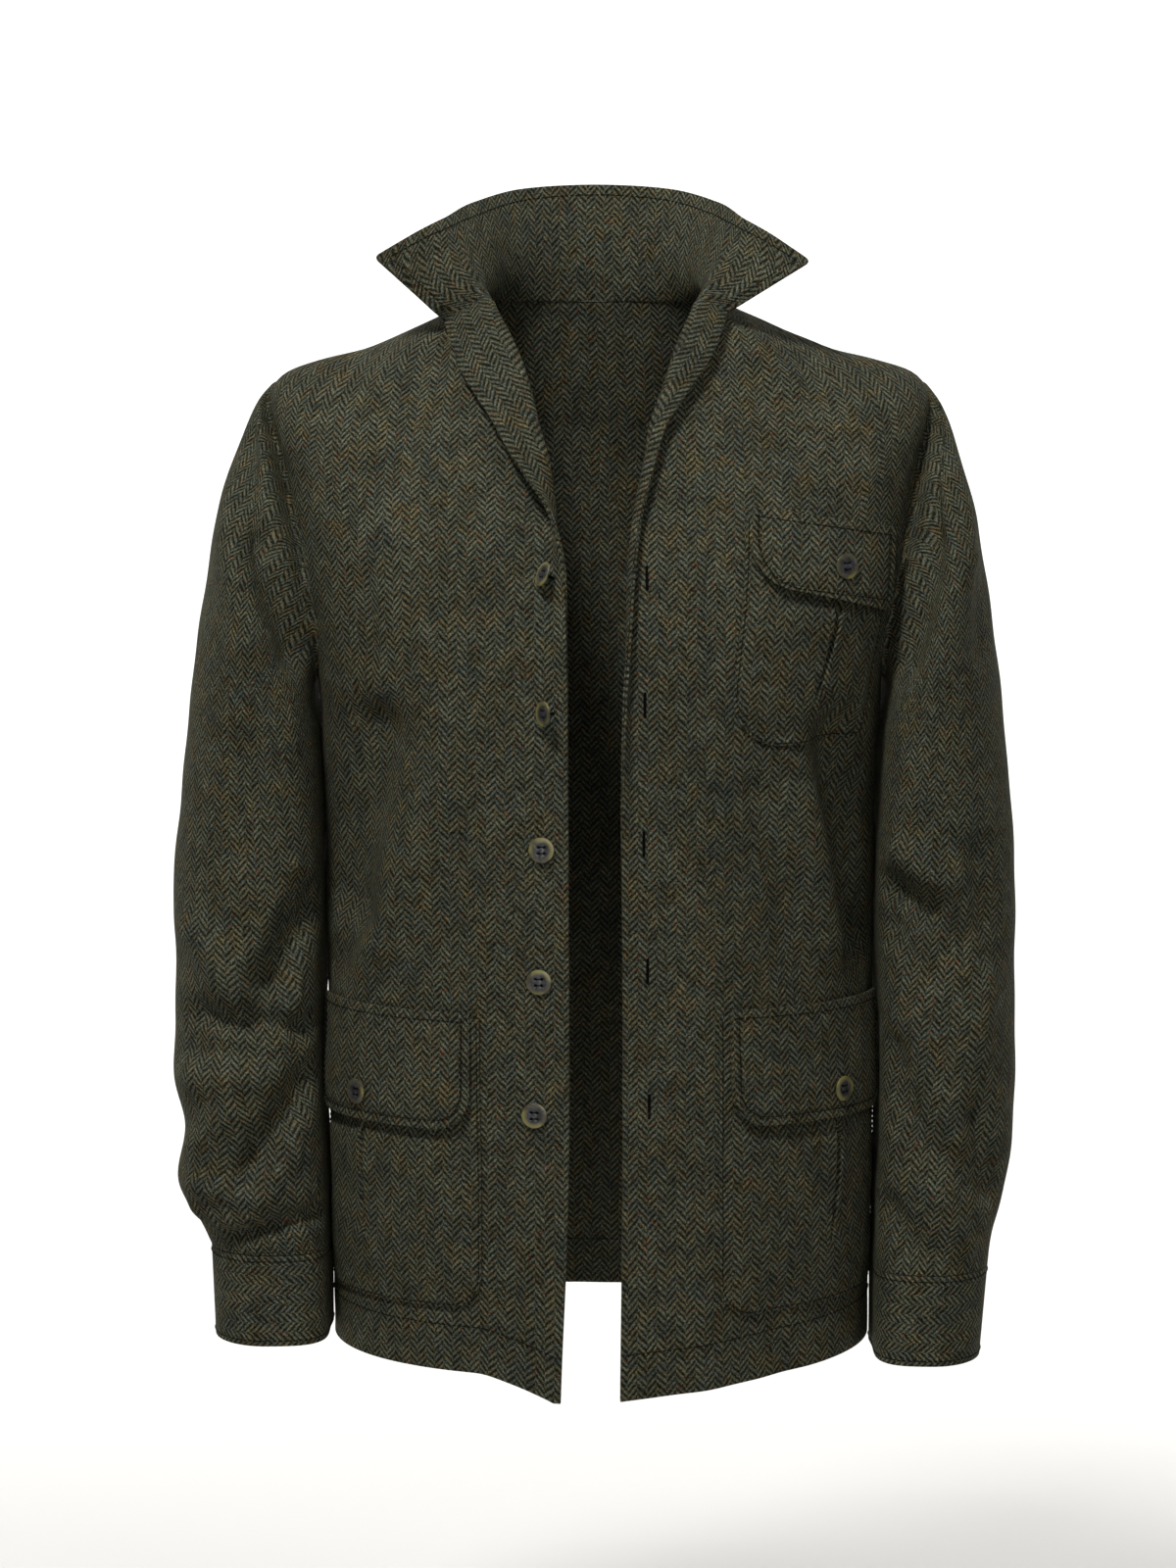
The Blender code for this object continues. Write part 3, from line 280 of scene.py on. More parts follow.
SLEEVE_FOLDS = {
    -1: (
        Fold(-0.212, -0.400, -0.236, -0.494, 0.011, -0.0080, -1),
        Fold(-0.240, -0.385, -0.262, -0.470, 0.014, 0.0050, -1),
        Fold(-0.282, -0.515, -0.215, -0.522, 0.010, -0.0050, -1),
        Fold(-0.210, -0.535, -0.250, -0.615, 0.011, -0.0060, -1),
        Fold(-0.285, -0.637, -0.245, -0.640, 0.008, 0.0040, -1),
        Fold(-0.212, -0.470, -0.280, -0.440, 0.013, -0.0050, 1),
        Fold(-0.285, -0.560, -0.215, -0.590, 0.012, -0.0050, 1),
    ),
    1: (
        Fold(0.244, -0.100, 0.238, -0.180, 0.010, -0.0035, -1),
        Fold(0.214, -0.410, 0.246, -0.452, 0.012, -0.0065, -1),
        Fold(0.226, -0.440, 0.262, -0.500, 0.014, 0.0045, -1),
        Fold(0.215, -0.560, 0.262, -0.612, 0.012, -0.0050, -1),
        Fold(0.212, -0.480, 0.280, -0.450, 0.013, -0.0050, 1),
        Fold(0.285, -0.570, 0.220, -0.600, 0.012, -0.0050, 1),
    ),
}
SLEEVE_CREASES = {
    -1: (
        Fold(-0.246, -0.090, -0.236, -0.160, 0.013, -0.0091, -1),
        Fold(-0.236, -0.160, -0.208, -0.236, 0.013, -0.0118, -1),
        Fold(-0.262, -0.130, -0.246, -0.232, 0.013, 0.0041, -1),
        Fold(-0.240, -0.232, -0.216, -0.300, 0.012, 0.0032, -1),
        Fold(-0.244, -0.300, -0.246, -0.380, 0.012, -0.0060, -1),
        Fold(-0.192, -0.412, -0.226, -0.466, 0.0095, -0.0125, -1),
        Fold(-0.210, -0.392, -0.246, -0.456, 0.010, 0.0061, -1),
        Fold(-0.286, -0.434, -0.254, -0.476, 0.012, 0.0065, -1),
        Fold(-0.204, -0.470, -0.212, -0.490, 0.009, 0.0046, -1),
        Fold(-0.278, -0.494, -0.208, -0.502, 0.009, -0.0114, -1),
        Fold(-0.284, -0.540, -0.226, -0.534, 0.011, 0.0054, -1),
        Fold(-0.198, -0.538, -0.246, -0.600, 0.0095, -0.0118, -1),
        Fold(-0.256, -0.562, -0.284, -0.590, 0.011, 0.0062, -1),
        Fold(-0.204, -0.584, -0.226, -0.606, 0.009, 0.0049, -1),
        Fold(-0.284, -0.617, -0.230, -0.621, 0.008, 0.0054, -1),
        Fold(-0.254, -0.651, -0.196, -0.634, 0.0075, -0.0095, -1),
        Fold(-0.280, -0.330, -0.225, -0.370, 0.011, -0.0034, 1),
        Fold(-0.210, -0.420, -0.285, -0.408, 0.010, 0.0040, 1),
        Fold(-0.220, -0.500, -0.282, -0.520, 0.011, 0.0040, 1),
        Fold(-0.240, -0.610, -0.280, -0.635, 0.009, -0.0034, 1),
    ),
    1: (
        Fold(0.240, -0.080, 0.234, -0.150, 0.013, -0.0086, -1),
        Fold(0.234, -0.150, 0.216, -0.240, 0.013, -0.0114, -1),
        Fold(0.258, -0.090, 0.262, -0.170, 0.012, 0.0043, -1),
        Fold(0.258, -0.180, 0.242, -0.250, 0.013, 0.0035, -1),
        Fold(0.276, -0.165, 0.272, -0.235, 0.010, -0.0051, -1),
        Fold(0.196, -0.400, 0.232, -0.416, 0.0095, -0.0114, -1),
        Fold(0.232, -0.416, 0.252, -0.440, 0.009, -0.0073, -1),
        Fold(0.206, -0.376, 0.248, -0.398, 0.011, 0.0062, -1),
        Fold(0.208, -0.434, 0.236, -0.466, 0.011, -0.0091, -1),
        Fold(0.270, -0.376, 0.276, -0.452, 0.011, -0.0064, -1),
        Fold(0.276, -0.446, 0.268, -0.520, 0.011, 0.0046, -1),
        Fold(0.232, -0.500, 0.256, -0.580, 0.013, 0.0051, -1),
        Fold(0.210, -0.520, 0.230, -0.590, 0.011, -0.0077, -1),
        Fold(0.266, -0.566, 0.280, -0.622, 0.010, -0.0082, -1),
        Fold(0.240, -0.622, 0.262, -0.660, 0.009, 0.0043, -1),
        Fold(0.208, -0.630, 0.230, -0.664, 0.009, -0.0069, -1),
        Fold(0.280, -0.330, 0.225, -0.370, 0.011, -0.0034, 1),
        Fold(0.212, -0.425, 0.285, -0.412, 0.010, 0.0040, 1),
        Fold(0.220, -0.510, 0.282, -0.530, 0.011, 0.0040, 1),
        Fold(0.240, -0.625, 0.280, -0.650, 0.009, -0.0034, 1),
    ),
}

POCKETS = (
    PocketCut("right", -1, 0.0810, -0.483, 0.156, 0.206, 0.006, 0.082, 0.026, 0.020, 0.0, 0.60, 0.76, 0.002),
    PocketCut("left", 1, 0.0855, -0.481, 0.156, 0.209, 0.007, 0.082, 0.026, 0.020, 0.0, 0.60, 0.76, 0.007),
    PocketCut("chest", 1, 0.104, -0.135, 0.120, 0.158, 0.002, 0.056, 0.036, 0.006, 0.016, 0.59, 0.56, 0.011),
)
PLEAT_END, BAG_SET_DOWN = 0.82, 0.004   # share of the bag that the pleat ends at; bag's top under the flap's

BUTTON_RADIUS, BUTTON_RIM, BUTTON_LIFT = 0.0100, 0.0034, 0.0006
FRONT_BUTTONS = (
    Seat(-0.0350, -0.1805, 62.0, 0.0077),
    Seat(-0.0345, -0.2720, 54.0, 0.0072),
    Seat(-0.0375, -0.3670, 0.0, BUTTON_LIFT),
    Seat(-0.0395, -0.4600, 0.0, BUTTON_LIFT),
    Seat(-0.0427, -0.5540, 0.0, BUTTON_LIFT),
)
# middle of each buttonhole on the left front, and the length of its slit
BUTTONHOLES = ((0.0349, -0.1805), (0.0335, -0.2667), (0.0329, -0.3630), (0.0356, -0.4525), (0.0369, -0.5484))
SLIT = 0.0170

# ---------------------------------------------------------------- mesh density
LOW_ROWS, ARM_ROWS, TOP_ROWS = 84, 60, 24
FRONT_COLUMNS, ROLL_COLUMNS, LAPEL_COLUMNS, BACK_COLUMNS = 78, 10, 12, 130
COLLAR_ROWS, CUFF_ROWS, SLEEVE_COLUMNS, SLEEVE_STEPS = 36, 24, 160, 12
TURN_STEP, LEVEL_STEP = 0.6, 0.03          # steps that find a direction on the figure
HALVINGS, ROUNDS = 24, 8                   # steps that find a level and a turn


# ================================================================ small helpers
def along(table: np.ndarray, index: np.ndarray) -> np.ndarray:
    """Rows of a table at fractional indices, on a smooth curve through its rows.

    Args:
        table: rows of numbers.
        index: fractional row indices, of any shape.

    Returns:
        The indices' shape with the table's columns as a last axis.
    """
    last = len(table) - 1
    index = np.clip(np.asarray(index, float), 0.0, last)
    base = np.minimum(index.astype(int), last - 1)
    f = (index - base)[..., None]
    p, q, r, s = (table[np.clip(base + k, 0, last)] for k in (-1, 0, 1, 2))
    return q + 0.5 * f * (r - p + f * (2 * p - 5 * q + 4 * r - s + f * (3 * (q - r) + s - p)))


def smooth(x: np.ndarray) -> np.ndarray:
    """0 below 0, 1 above 1 and an even slope between."""
    x = np.clip(x, 0.0, 1.0)
    return x * x * (3.0 - 2.0 * x)


def unit(vectors: np.ndarray) -> np.ndarray:
    """Vectors scaled to a length of 1."""
    return vectors / np.maximum(np.linalg.norm(vectors, axis=-1, keepdims=True), 1e-12)


def fold_rise(points: np.ndarray, outward: np.ndarray, folds: Sequence[Fold]) -> np.ndarray:
    """How far folds push the cloth out.

    Args:
        points: places on the cloth.
        outward: outward directions there.
        folds: the ridges and troughs.

    Returns:
        One rise for each point, in metres.
    """
    total = np.zeros(points.shape[:-1])
    for fold in folds:
        start, run = np.array((fold.x0, fold.z0)), np.array((fold.x1 - fold.x0, fold.z1 - fold.z0))
        offset = points[..., [0, 2]] - start
        share = np.clip(offset @ run / (run @ run), 0.0, 1.0)
        away = np.linalg.norm(offset - share[..., None] * run, axis=-1)
        facing = smooth(2.0 * outward[..., 1] * fold.face)
        total += fold.rise * facing * np.exp(-((away / fold.width) ** 2))
    return DEEPEST * np.tanh(total / DEEPEST)


def unevenness(points: np.ndarray) -> np.ndarray:
    """The slight waviness of soft cloth, in metres."""
    x, y, z = points[..., 0], points[..., 1], points[..., 2]
    return (0.00035 * np.sin(61.0 * x + 23.0 * z + 1.3) * np.sin(37.0 * z - 11.0 * y)
            + 0.00025 * np.sin(113.0 * z + 41.0 * x + 0.4) + 0.00020 * np.sin(151.0 * x - 67.0 * z + 2.1))


# ================================================================ finishes
def srgb(code: str) -> tuple[float, float, float, float]:
    """A hex colour as linear red, green, blue and alpha."""
    values = [int(code[k:k + 2], 16) / 255.0 for k in (0, 2, 4)]
    return (*[v / 12.92 if v <= 0.04045 else ((v + 0.055) / 1.055) ** 2.4 for v in values], 1.0)


def add_node(tree: bpy.types.NodeTree, kind: str, inputs: Optional[dict] = None,
             **settings: object) -> bpy.types.Node:
    """A node with its settings and inputs; an input that is a socket is linked."""
    node = tree.nodes.new(kind)
    for name, value in settings.items():
        setattr(node, name, value)
    for name, value in (inputs or {}).items():
        if isinstance(value, bpy.types.NodeSocket):
            tree.links.new(value, node.inputs[name])
        else:
            node.inputs[name].default_value = value
    return node


@dataclass(frozen=True)
class Finish:
    """A named material, made once."""

    name: str

    def blank(self) -> tuple[bpy.types.Material, bpy.types.NodeTree, bpy.types.Node]:
        """A new material with its tree and shader."""
        material = bpy.data.materials.new(self.name)
        material.use_nodes = True
        return material, material.node_tree, material.node_tree.nodes["Principled BSDF"]


@dataclass(frozen=True)
class Tweed(Finish):
    """Carded wool woven as a herringbone twill.

    It gives the eye a dry, matt grain without gloss: pale ridges over dark hollows that turn back at
    each column, with flecks of dyed wool in them.
    """

    shade: str = "1b1c14"            # yarn in the hollows
    light: str = "585b4d"            # yarn on the ridges
    grey: str = "474f49"             # blue-grey patches and flecks
    warm: str = "645a3c"             # ochre patches and flecks
    rust: str = "664632"             # brown flecks
    column: float = 0.00675          # width of one column, metres
    pitch: float = 0.00470           # twill lines up the column; the threads in a line are too fine to show
    waver: float = 0.0012            # how far the yarns wander
    fuzz: float = 4.6                # how much loose fibre breaks the ridges up
    relief: float = 0.0004           # height of a ridge
    roughness: float = 0.92
    sheen: float = 0.04

    def make(self) -> bpy.types.Material:
        """The cloth's material, in metres by the map named weave."""
        material, tree, shader = self.blank()
        found = self.noises(tree)
        self.twill(tree, found)
        self.tones(tree, found)
        wool = srgb(self.light)
        for name, tint in (("grey patch", self.grey), ("ochre patch", self.warm), ("grey fleck", self.grey),
                           ("ochre fleck", self.warm), ("brown fleck", self.rust)):
            wool = add_node(tree, "ShaderNodeMix", {0: found[name + " share"], 6: wool, 7: srgb(tint)},
                            data_type="RGBA").outputs[2]
        base = add_node(tree, "ShaderNodeMix", {0: found["ridge"], 6: srgb(self.shade), 7: wool},
                        data_type="RGBA")
        depth = add_node(tree, "ShaderNodeCombineXYZ", dict.fromkeys(range(3), found["depth"]))
        colour = add_node(tree, "ShaderNodeMix", {0: 1.0, 6: base.outputs[2], 7: depth.outputs[0]},
                          data_type="RGBA", blend_type="MULTIPLY")
        tree.links.new(colour.outputs[2], shader.inputs["Base Color"])
        bump = add_node(tree, "ShaderNodeBump", {"Height": found["height"], "Strength": 0.7,
                                                 "Distance": self.relief})
        tree.links.new(bump.outputs[0], shader.inputs["Normal"])
        shader.inputs["Roughness"].default_value = self.roughness
        shader.inputs["Sheen Weight"].default_value = self.sheen
        shader.inputs["Sheen Roughness"].default_value = 0.4
        shader.inputs["Sheen Tint"].default_value = srgb("b9b796")
        shader.inputs["Specular IOR Level"].default_value = 0.05
        return material

    def noises(self, tree: bpy.types.NodeTree) -> dict[str, bpy.types.NodeSocket]:
        """Every noise of the cloth, in object space."""
        place = add_node(tree, "ShaderNodeTexCoord").outputs["Object"]
        found = {}
        # features to the metre, detail, and a shift that parts one noise from another
        for name, scale, detail, shift in (
                ("wander", 170.0, 2.0, 0.0),         # 6 mm
                ("fibre", 1000.0, 2.0, 0.0),         # 1 mm: real fibres are finer, and drawn coarser to show
                ("grey patch", 55.0, 2.0, 9.0),      # 18 mm
                ("ochre patch", 70.0, 2.0, 3.0),     # 14 mm
                ("grey fleck", 420.0, 2.0, 5.0),     # flecks of 2 to 3 mm
                ("ochre fleck", 380.0, 2.0, 1.0),
                ("brown fleck", 330.0, 2.0, 7.0),
                ("cloud", 26.0, 3.0, 5.0),           # 40 mm
                ("speckle", 680.0, 2.0, 2.0),        # 1.5 mm
                ("nap", 1500.0, 2.0, 1.0)):          # 0.7 mm
            moved = add_node(tree, "ShaderNodeVectorMath", {0: place, 1: (shift,) * 3}, operation="ADD")
            found[name] = add_node(tree, "ShaderNodeTexNoise", {"Vector": moved.outputs[0], "Scale": scale,
                                                                "Detail": detail}).outputs[0]
        return found

    def twill(self, tree: bpy.types.NodeTree, found: dict[str, bpy.types.NodeSocket]) -> None:
        """Adds the wave of the twill lines and each yarn's own dye to what is found."""
        weave = add_node(tree, "ShaderNodeUVMap", uv_map="weave")
        place = add_node(tree, "ShaderNodeSeparateXYZ", {0: weave.outputs[0]})
        found["weave across"], found["weave up"] = place.outputs[0], place.outputs[1]
        for name, operation, first, second in (
                ("wander off", "SUBTRACT", "wander", 0.5),
                ("moved", "MULTIPLY", "wander off", self.waver),
                ("across", "ADD", "weave across", "moved"),
                ("up", "ADD", "weave up", "moved"),
                # the line turns back at each column and is broken by half a line there
                ("turned", "PINGPONG", "across", self.column),
                ("columns", "DIVIDE", "across", self.column),
                ("column", "FLOOR", "columns", 0.0),
                ("unsigned", "ABSOLUTE", "column", 0.0),
                ("odd", "MODULO", "unsigned", 2.0),
                ("broken", "MULTIPLY", "odd", 0.5),
                ("slanted", "ADD", "up", "turned"),
                ("lines", "DIVIDE", "slanted", self.pitch),
                ("line", "ADD", "lines", "broken"),
                ("turn", "MULTIPLY", "line", 2.0 * math.pi),
                ("wave", "COSINE", "turn", 0.0),
                ("fibre off", "SUBTRACT", "fibre", 0.5),
                ("loose", "MULTIPLY", "fibre off", self.fuzz),
                ("fuzzy wave", "ADD", "wave", "loose"),
                ("yarn", "FLOOR", "line", 0.0)):
            found[name] = add_node(tree, "ShaderNodeMath", {0: found[first], 1: found.get(second, second)},
                                   operation=operation).outputs[0]
        yarn = add_node(tree, "ShaderNodeCombineXYZ", {0: found["yarn"], 1: found["column"]})
        found["dye"] = add_node(tree, "ShaderNodeTexWhiteNoise", {"Vector": yarn.outputs[0]},
                                noise_dimensions="3D").outputs[0]

    def tones(self, tree: bpy.types.NodeTree, found: dict[str, bpy.types.NodeSocket]) -> None:
        """Adds the ridges, the share of each tint, the colour's depth and the height to what is found."""
        for name, source, low, high, first, last in (
                ("ridge", "fuzzy wave", -0.85, 1.15, 0.0, 1.0),
                ("grey patch share", "grey patch", 0.47, 0.66, 0.0, 0.80),
                ("ochre patch share", "ochre patch", 0.50, 0.68, 0.0, 0.75),
                ("grey fleck share", "grey fleck", 0.52, 0.68, 0.0, 0.80),
                ("ochre fleck share", "ochre fleck", 0.53, 0.68, 0.0, 0.85),
                ("brown fleck share", "brown fleck", 0.58, 0.70, 0.0, 0.90),
                ("yarn tone", "dye", 0.0, 1.0, 0.74, 1.22),
                ("cloud tone", "cloud", 0.3, 0.7, -0.10, 0.10),
                ("speckle tone", "speckle", 0.3, 0.7, 0.42, 1.58)):
            found[name] = add_node(tree, "ShaderNodeMapRange", {
                "Value": found[source], "From Min": low, "From Max": high, "To Min": first,
                "To Max": last}).outputs[0]
        for name, operation, first, second in (
                ("tone", "ADD", "yarn tone", "cloud tone"),
                ("depth", "MULTIPLY", "tone", "speckle tone"),
                ("nap height", "MULTIPLY", "nap", 0.6),
                ("height", "ADD", "ridge", "nap height")):
            found[name] = add_node(tree, "ShaderNodeMath", {0: found[first], 1: found.get(second, second)},
                                   operation=operation).outputs[0]


@dataclass(frozen=True)
class Thread(Finish):
    """Twisted sewing thread: dull, and dark with painted shade of its plies, and a noise painting more shade
    between them.
    """

    # darkened with painted shade that the plies cast on each other
    colour: str = "191a13"
    twist: float = 1800.0            # turns to the metre, one each 0.55 mm
    painted_ply_shade: float = 0.55             # painted shade between the plies

    def make(self) -> bpy.types.Material:
        """The thread's material."""
        material, tree, shader = self.blank()
        place = add_node(tree, "ShaderNodeTexCoord").outputs["Object"]
        # a noise paints shade between the plies into the thread's colour
        ply_shade_mask = add_node(tree, "ShaderNodeTexNoise", {"Vector": place, "Scale": self.twist, "Detail": 2.0})
        shade = tuple(self.painted_ply_shade * v for v in srgb(self.colour)[:3]) + (1.0,)
        mixed = add_node(tree, "ShaderNodeMix", {0: ply_shade_mask.outputs[0], 6: shade, 7: srgb(self.colour)},
                         data_type="RGBA")
        tree.links.new(mixed.outputs[2], shader.inputs["Base Color"])
        shader.inputs["Roughness"].default_value = 0.8
        shader.inputs["Specular IOR Level"].default_value = 0.05
        return material


@dataclass(frozen=True)
class Horn(Finish):
    """Dark horn, turned and polished: mottled grey with a soft gloss, and paler towards its rim in
    stretches.
    """

    dark: str = "1e1e20"
    streak: str = "424147"
    rim: str = "77713f"
    grain: float = 240.0             # streaks to the metre, one each 4 mm
    blotch: float = 62.0             # pale stretches of the rim, one each 16 mm
    rim_start: float = 0.0048        # metres from the middle
    rim_full: float = 0.0074

    def make(self) -> bpy.types.Material:
        """The button's material; the map named face is in metres from its middle."""
        material, tree, shader = self.blank()
        face = add_node(tree, "ShaderNodeUVMap", uv_map="face").outputs[0]
        place = add_node(tree, "ShaderNodeTexCoord").outputs["Object"]
        grain = add_node(tree, "ShaderNodeTexNoise", {"Vector": place, "Scale": self.grain, "Detail": 4.0,
                                                      "Distortion": 1.2})
        heart = add_node(tree, "ShaderNodeValToRGB", {"Fac": grain.outputs[0]})
        for stop, at, tint in zip(heart.color_ramp.elements, (0.42, 0.72), (self.dark, self.streak)):
            stop.position, stop.color = at, srgb(tint)
        out = add_node(tree, "ShaderNodeVectorMath", {0: face}, operation="LENGTH")
        edge = add_node(tree, "ShaderNodeMapRange", {
            "Value": out.outputs["Value"], "From Min": self.rim_start, "From Max": self.rim_full,
            "To Min": 0.0, "To Max": 0.90})
        # this noise picks the stretches of the rim that are coloured paler
        worn = add_node(tree, "ShaderNodeTexNoise", {"Vector": place, "Scale": self.blotch, "Detail": 1.0})
        part = add_node(tree, "ShaderNodeMapRange", {
            "Value": worn.outputs[0], "From Min": 0.47, "From Max": 0.56, "To Min": 0.25, "To Max": 1.0})
        share = add_node(tree, "ShaderNodeMath", {0: edge.outputs[0], 1: part.outputs[0]},
                         operation="MULTIPLY").outputs[0]
        mixed = add_node(tree, "ShaderNodeMix", {0: share, 6: heart.outputs[0], 7: srgb(self.rim)},
                         data_type="RGBA")
        tree.links.new(mixed.outputs[2], shader.inputs["Base Color"])
        shader.inputs["Roughness"].default_value = 0.30
        shader.inputs["Specular IOR Level"].default_value = 0.45
        shader.inputs["Coat Weight"].default_value = 0.25
        shader.inputs["Coat Roughness"].default_value = 0.20
        return material


@dataclass(frozen=True)
class Paper(Finish):
    """Uncoated background paper: pale and matt, so that it only takes soft shadow."""

    colour: str = "cbcac8"

    def make(self) -> bpy.types.Material:
        """The backdrop's material."""
        material, _, shader = self.blank()
        shader.inputs["Base Color"].default_value = srgb(self.colour)
        shader.inputs["Roughness"].default_value = 0.9
        return material


class Wardrobe:
    """Every material of the jacket, made once."""

    def __init__(self) -> None:
        """Makes the materials."""
        self.tweed = Tweed("wool herringbone tweed").make()
        self.thread = Thread("olive sewing thread").make()
        # near-black: thread for the buttons, and on the buttonholes painted shade standing in for the open
        # slit
        self.thread_and_slit_shade = Thread("dark thread and painted slit shade", colour="080806").make()
        self.horn = Horn("dark horn").make()
        self.paper = Paper("pale paper").make()


# ================================================================ pieces
class Slot(Enum):
    """The finish slots that other looks can take."""

    TWEED = "tweed"
    HORN = "horn"


class Hold(Enum):
    """How a sheet of cloth is held."""

    DRAPED = "draped"
    HUNG = "hung"
    LAID = "laid"


def side_word(side: int) -> str:
    """The wearer's side in a word."""
    return "left" if side > 0 else "right"


def add_piece(name: str, verts: Sequence, faces: Sequence, material: bpy.types.Material) -> bpy.types.Object:
    """A smooth object with a mesh of its own and one material."""
    mesh = bpy.data.meshes.new(name)
    mesh.from_pydata(np.asarray(verts).tolist(), [], np.asarray(faces).tolist())
    mesh.materials.append(material)
    mesh.shade_smooth()
    piece = bpy.data.objects.new(name, mesh)
    bpy.context.scene.collection.objects.link(piece)
    return piece


def tube_faces(start: int, rings: int, sides: int, closed: bool = False) -> list[tuple[int, int, int, int]]:
    """Faces between rings of points that follow one another; closed joins the last to the first."""
    faces = []
    for ring in range(rings if closed else rings - 1):
        here, onward = start + ring * sides, start + (ring + 1) % rings * sides
        for n in range(sides):
            after = (n + 1) % sides
            faces.append((here + n, here + after, onward + after, onward + n))
    return faces


def settle(piece: bpy.types.Object, slot: Slot, *nodes: str) -> None:
    """A piece rides on the body and stands for its CAD nodes."""
    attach(piece, "root")
    if nodes:
        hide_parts(*nodes)
    LOG.info("%s: %d faces", piece.name, len(piece.data.polygons))


# ================================================================ cloth in code
@dataclass
class Cloth:
    """A sheet as rows of points, with outward directions and weave places in metres."""

    points: np.ndarray
    outward: np.ndarray
    weave: np.ndarray

    def part(self, rows: slice, columns: slice) -> "Cloth":
        """Some of its rows and columns."""
        return Cloth(self.points[rows, columns], self.outward[rows, columns], self.weave[rows, columns])

    def at(self, row: np.ndarray, column: np.ndarray) -> tuple[np.ndarray, np.ndarray]:
        """Points and outward directions at fractional rows and columns."""
        i = np.clip(np.floor(row).astype(int), 0, self.points.shape[0] - 2)
        j = np.clip(np.floor(column).astype(int), 0, self.points.shape[1] - 2)
        v, u = (row - i)[..., None], (column - j)[..., None]

        def mixed(grid: np.ndarray) -> np.ndarray:
            """One grid between its four nearest points."""
            return ((grid[i, j] * (1 - u) + grid[i, j + 1] * u) * (1 - v)
                    + (grid[i + 1, j] * (1 - u) + grid[i + 1, j + 1] * u) * v)

        return mixed(self.points), unit(mixed(self.outward))

    def shell(self, name: str, near: float, far: float, material: bpy.types.Material,
              closed: bool = False) -> bpy.types.Object:
        """The sheet as a thin closed wall.

        Args:
            name: the object's name.
            near: depth of its outer face under the points.
            far: depth of its inner face.
            material: its finish.
            closed: the last column is the first one again.

        Returns:
            The new object.
        """
        rows, columns = self.points.shape[:2]
        kept = columns - 1 if closed else columns
        walls = [(self.points - self.outward * depth)[:, :kept].reshape(-1, 3) for depth in (near, far)]
        i, j = np.meshgrid(np.arange(rows), np.arange(columns), indexing="ij")
        ids = (i * kept + j % kept).ravel()
        grid = np.arange(rows * columns).reshape(rows, columns)

        def quads(*corners: np.ndarray) -> np.ndarray:
            """Four arrays of corners as a list of faces."""
            return np.stack([corner.ravel() for corner in corners], axis=1)

        r, c = rows // 2, columns // 2
        over, down = (place - self.points[r, c] for place in (self.points[r, c + 1], self.points[r + 1, c]))
        flip = np.dot(np.cross(over, down), self.outward[r, c]) < 0.0
        outer = quads(grid[:-1, :-1], grid[:-1, 1:], grid[1:, 1:], grid[1:, :-1])
        if flip:
            outer = outer[:, ::-1]
        # faces with the wall that each corner is on
        parts = [(outer, 0, 0, 0, 0), (outer[:, ::-1], 1, 1, 1, 1)]
        rims = [(grid[0, :-1], grid[0, 1:]), (grid[-1, 1:], grid[-1, :-1])]
        if not closed:
            rims += [(grid[1:, 0], grid[:-1, 0]), (grid[:-1, -1], grid[1:, -1])]
        for first, second in rims:
            around = (first, second, second, first) if flip else (second, first, first, second)
            parts.append((quads(*around), 0, 0, 1, 1))
        places = np.concatenate([ids[faces] + rows * kept * np.array(layers) for faces, *layers in parts])
        piece = add_piece(name, np.concatenate(walls), places, material)
        corners = np.concatenate([self.weave.reshape(-1, 2)[faces] for faces, *_ in parts])
        layer = piece.data.uv_layers.new(name="weave")
        layer.data.foreach_set("uv", corners.ravel().astype(np.float32))
        piece.data.validate()
        round_edges(piece)
        return piece


def round_edges(piece: bpy.types.Object) -> None:
    """Rounds the rims of a piece of cloth and shades it smooth."""
    bpy.ops.object.select_all(action="DESELECT")
    bpy.context.view_layer.objects.active = piece
    piece.select_set(True)
    bevel = piece.modifiers.new("turned edge", "BEVEL")
    bevel.width, bevel.segments, bevel.angle_limit = EDGE_ROUND, 2, math.radians(60.0)
    bpy.ops.object.modifier_apply(modifier=bevel.name)
    piece.data.shade_smooth()
    piece.data.set_sharp_from_angle(angle=math.radians(50.0))
    piece.select_set(False)


def weave_up(points: np.ndarray, start_row: int, sign: float = 1.0,
             across: Optional[np.ndarray] = None) -> np.ndarray:
    """Distance up each column of points, level with its height in one row.

    Args:
        points: rows of points.
        start_row: the row where the distance is the height.
        sign: -1 where rows run down.
        across: distances along the rows; what a slanting column moves sideways doesn't count.

    Returns:
        One distance for each point.
    """
    run = np.linalg.norm(np.diff(points, axis=0), axis=-1)
    if across is not None:
        run = np.sqrt(np.maximum(run ** 2 - np.diff(across, axis=0) ** 2, (0.2 * run) ** 2))
    total = np.concatenate([np.zeros((1, points.shape[1])), np.cumsum(run, axis=0)])
    return sign * (total - total[start_row]) + points[start_row, :, 2]


def weave_across(points: np.ndarray, start: int, level: bool = True) -> np.ndarray:
    """Distance along each row of points from one column.

    Args:
        points: rows of points.
        start: the column where the distance is 0.
        level: only steps on the level count, so that columns of the weave stay upright.

    Returns:
        One signed distance for each point.
    """
    kept = points[..., :2] if level else points
    run = np.linalg.norm(np.diff(kept, axis=1), axis=-1)
    total = np.concatenate([np.zeros((points.shape[0], 1)), np.cumsum(run, axis=1)], axis=1)
    return total - total[:, start:start + 1]


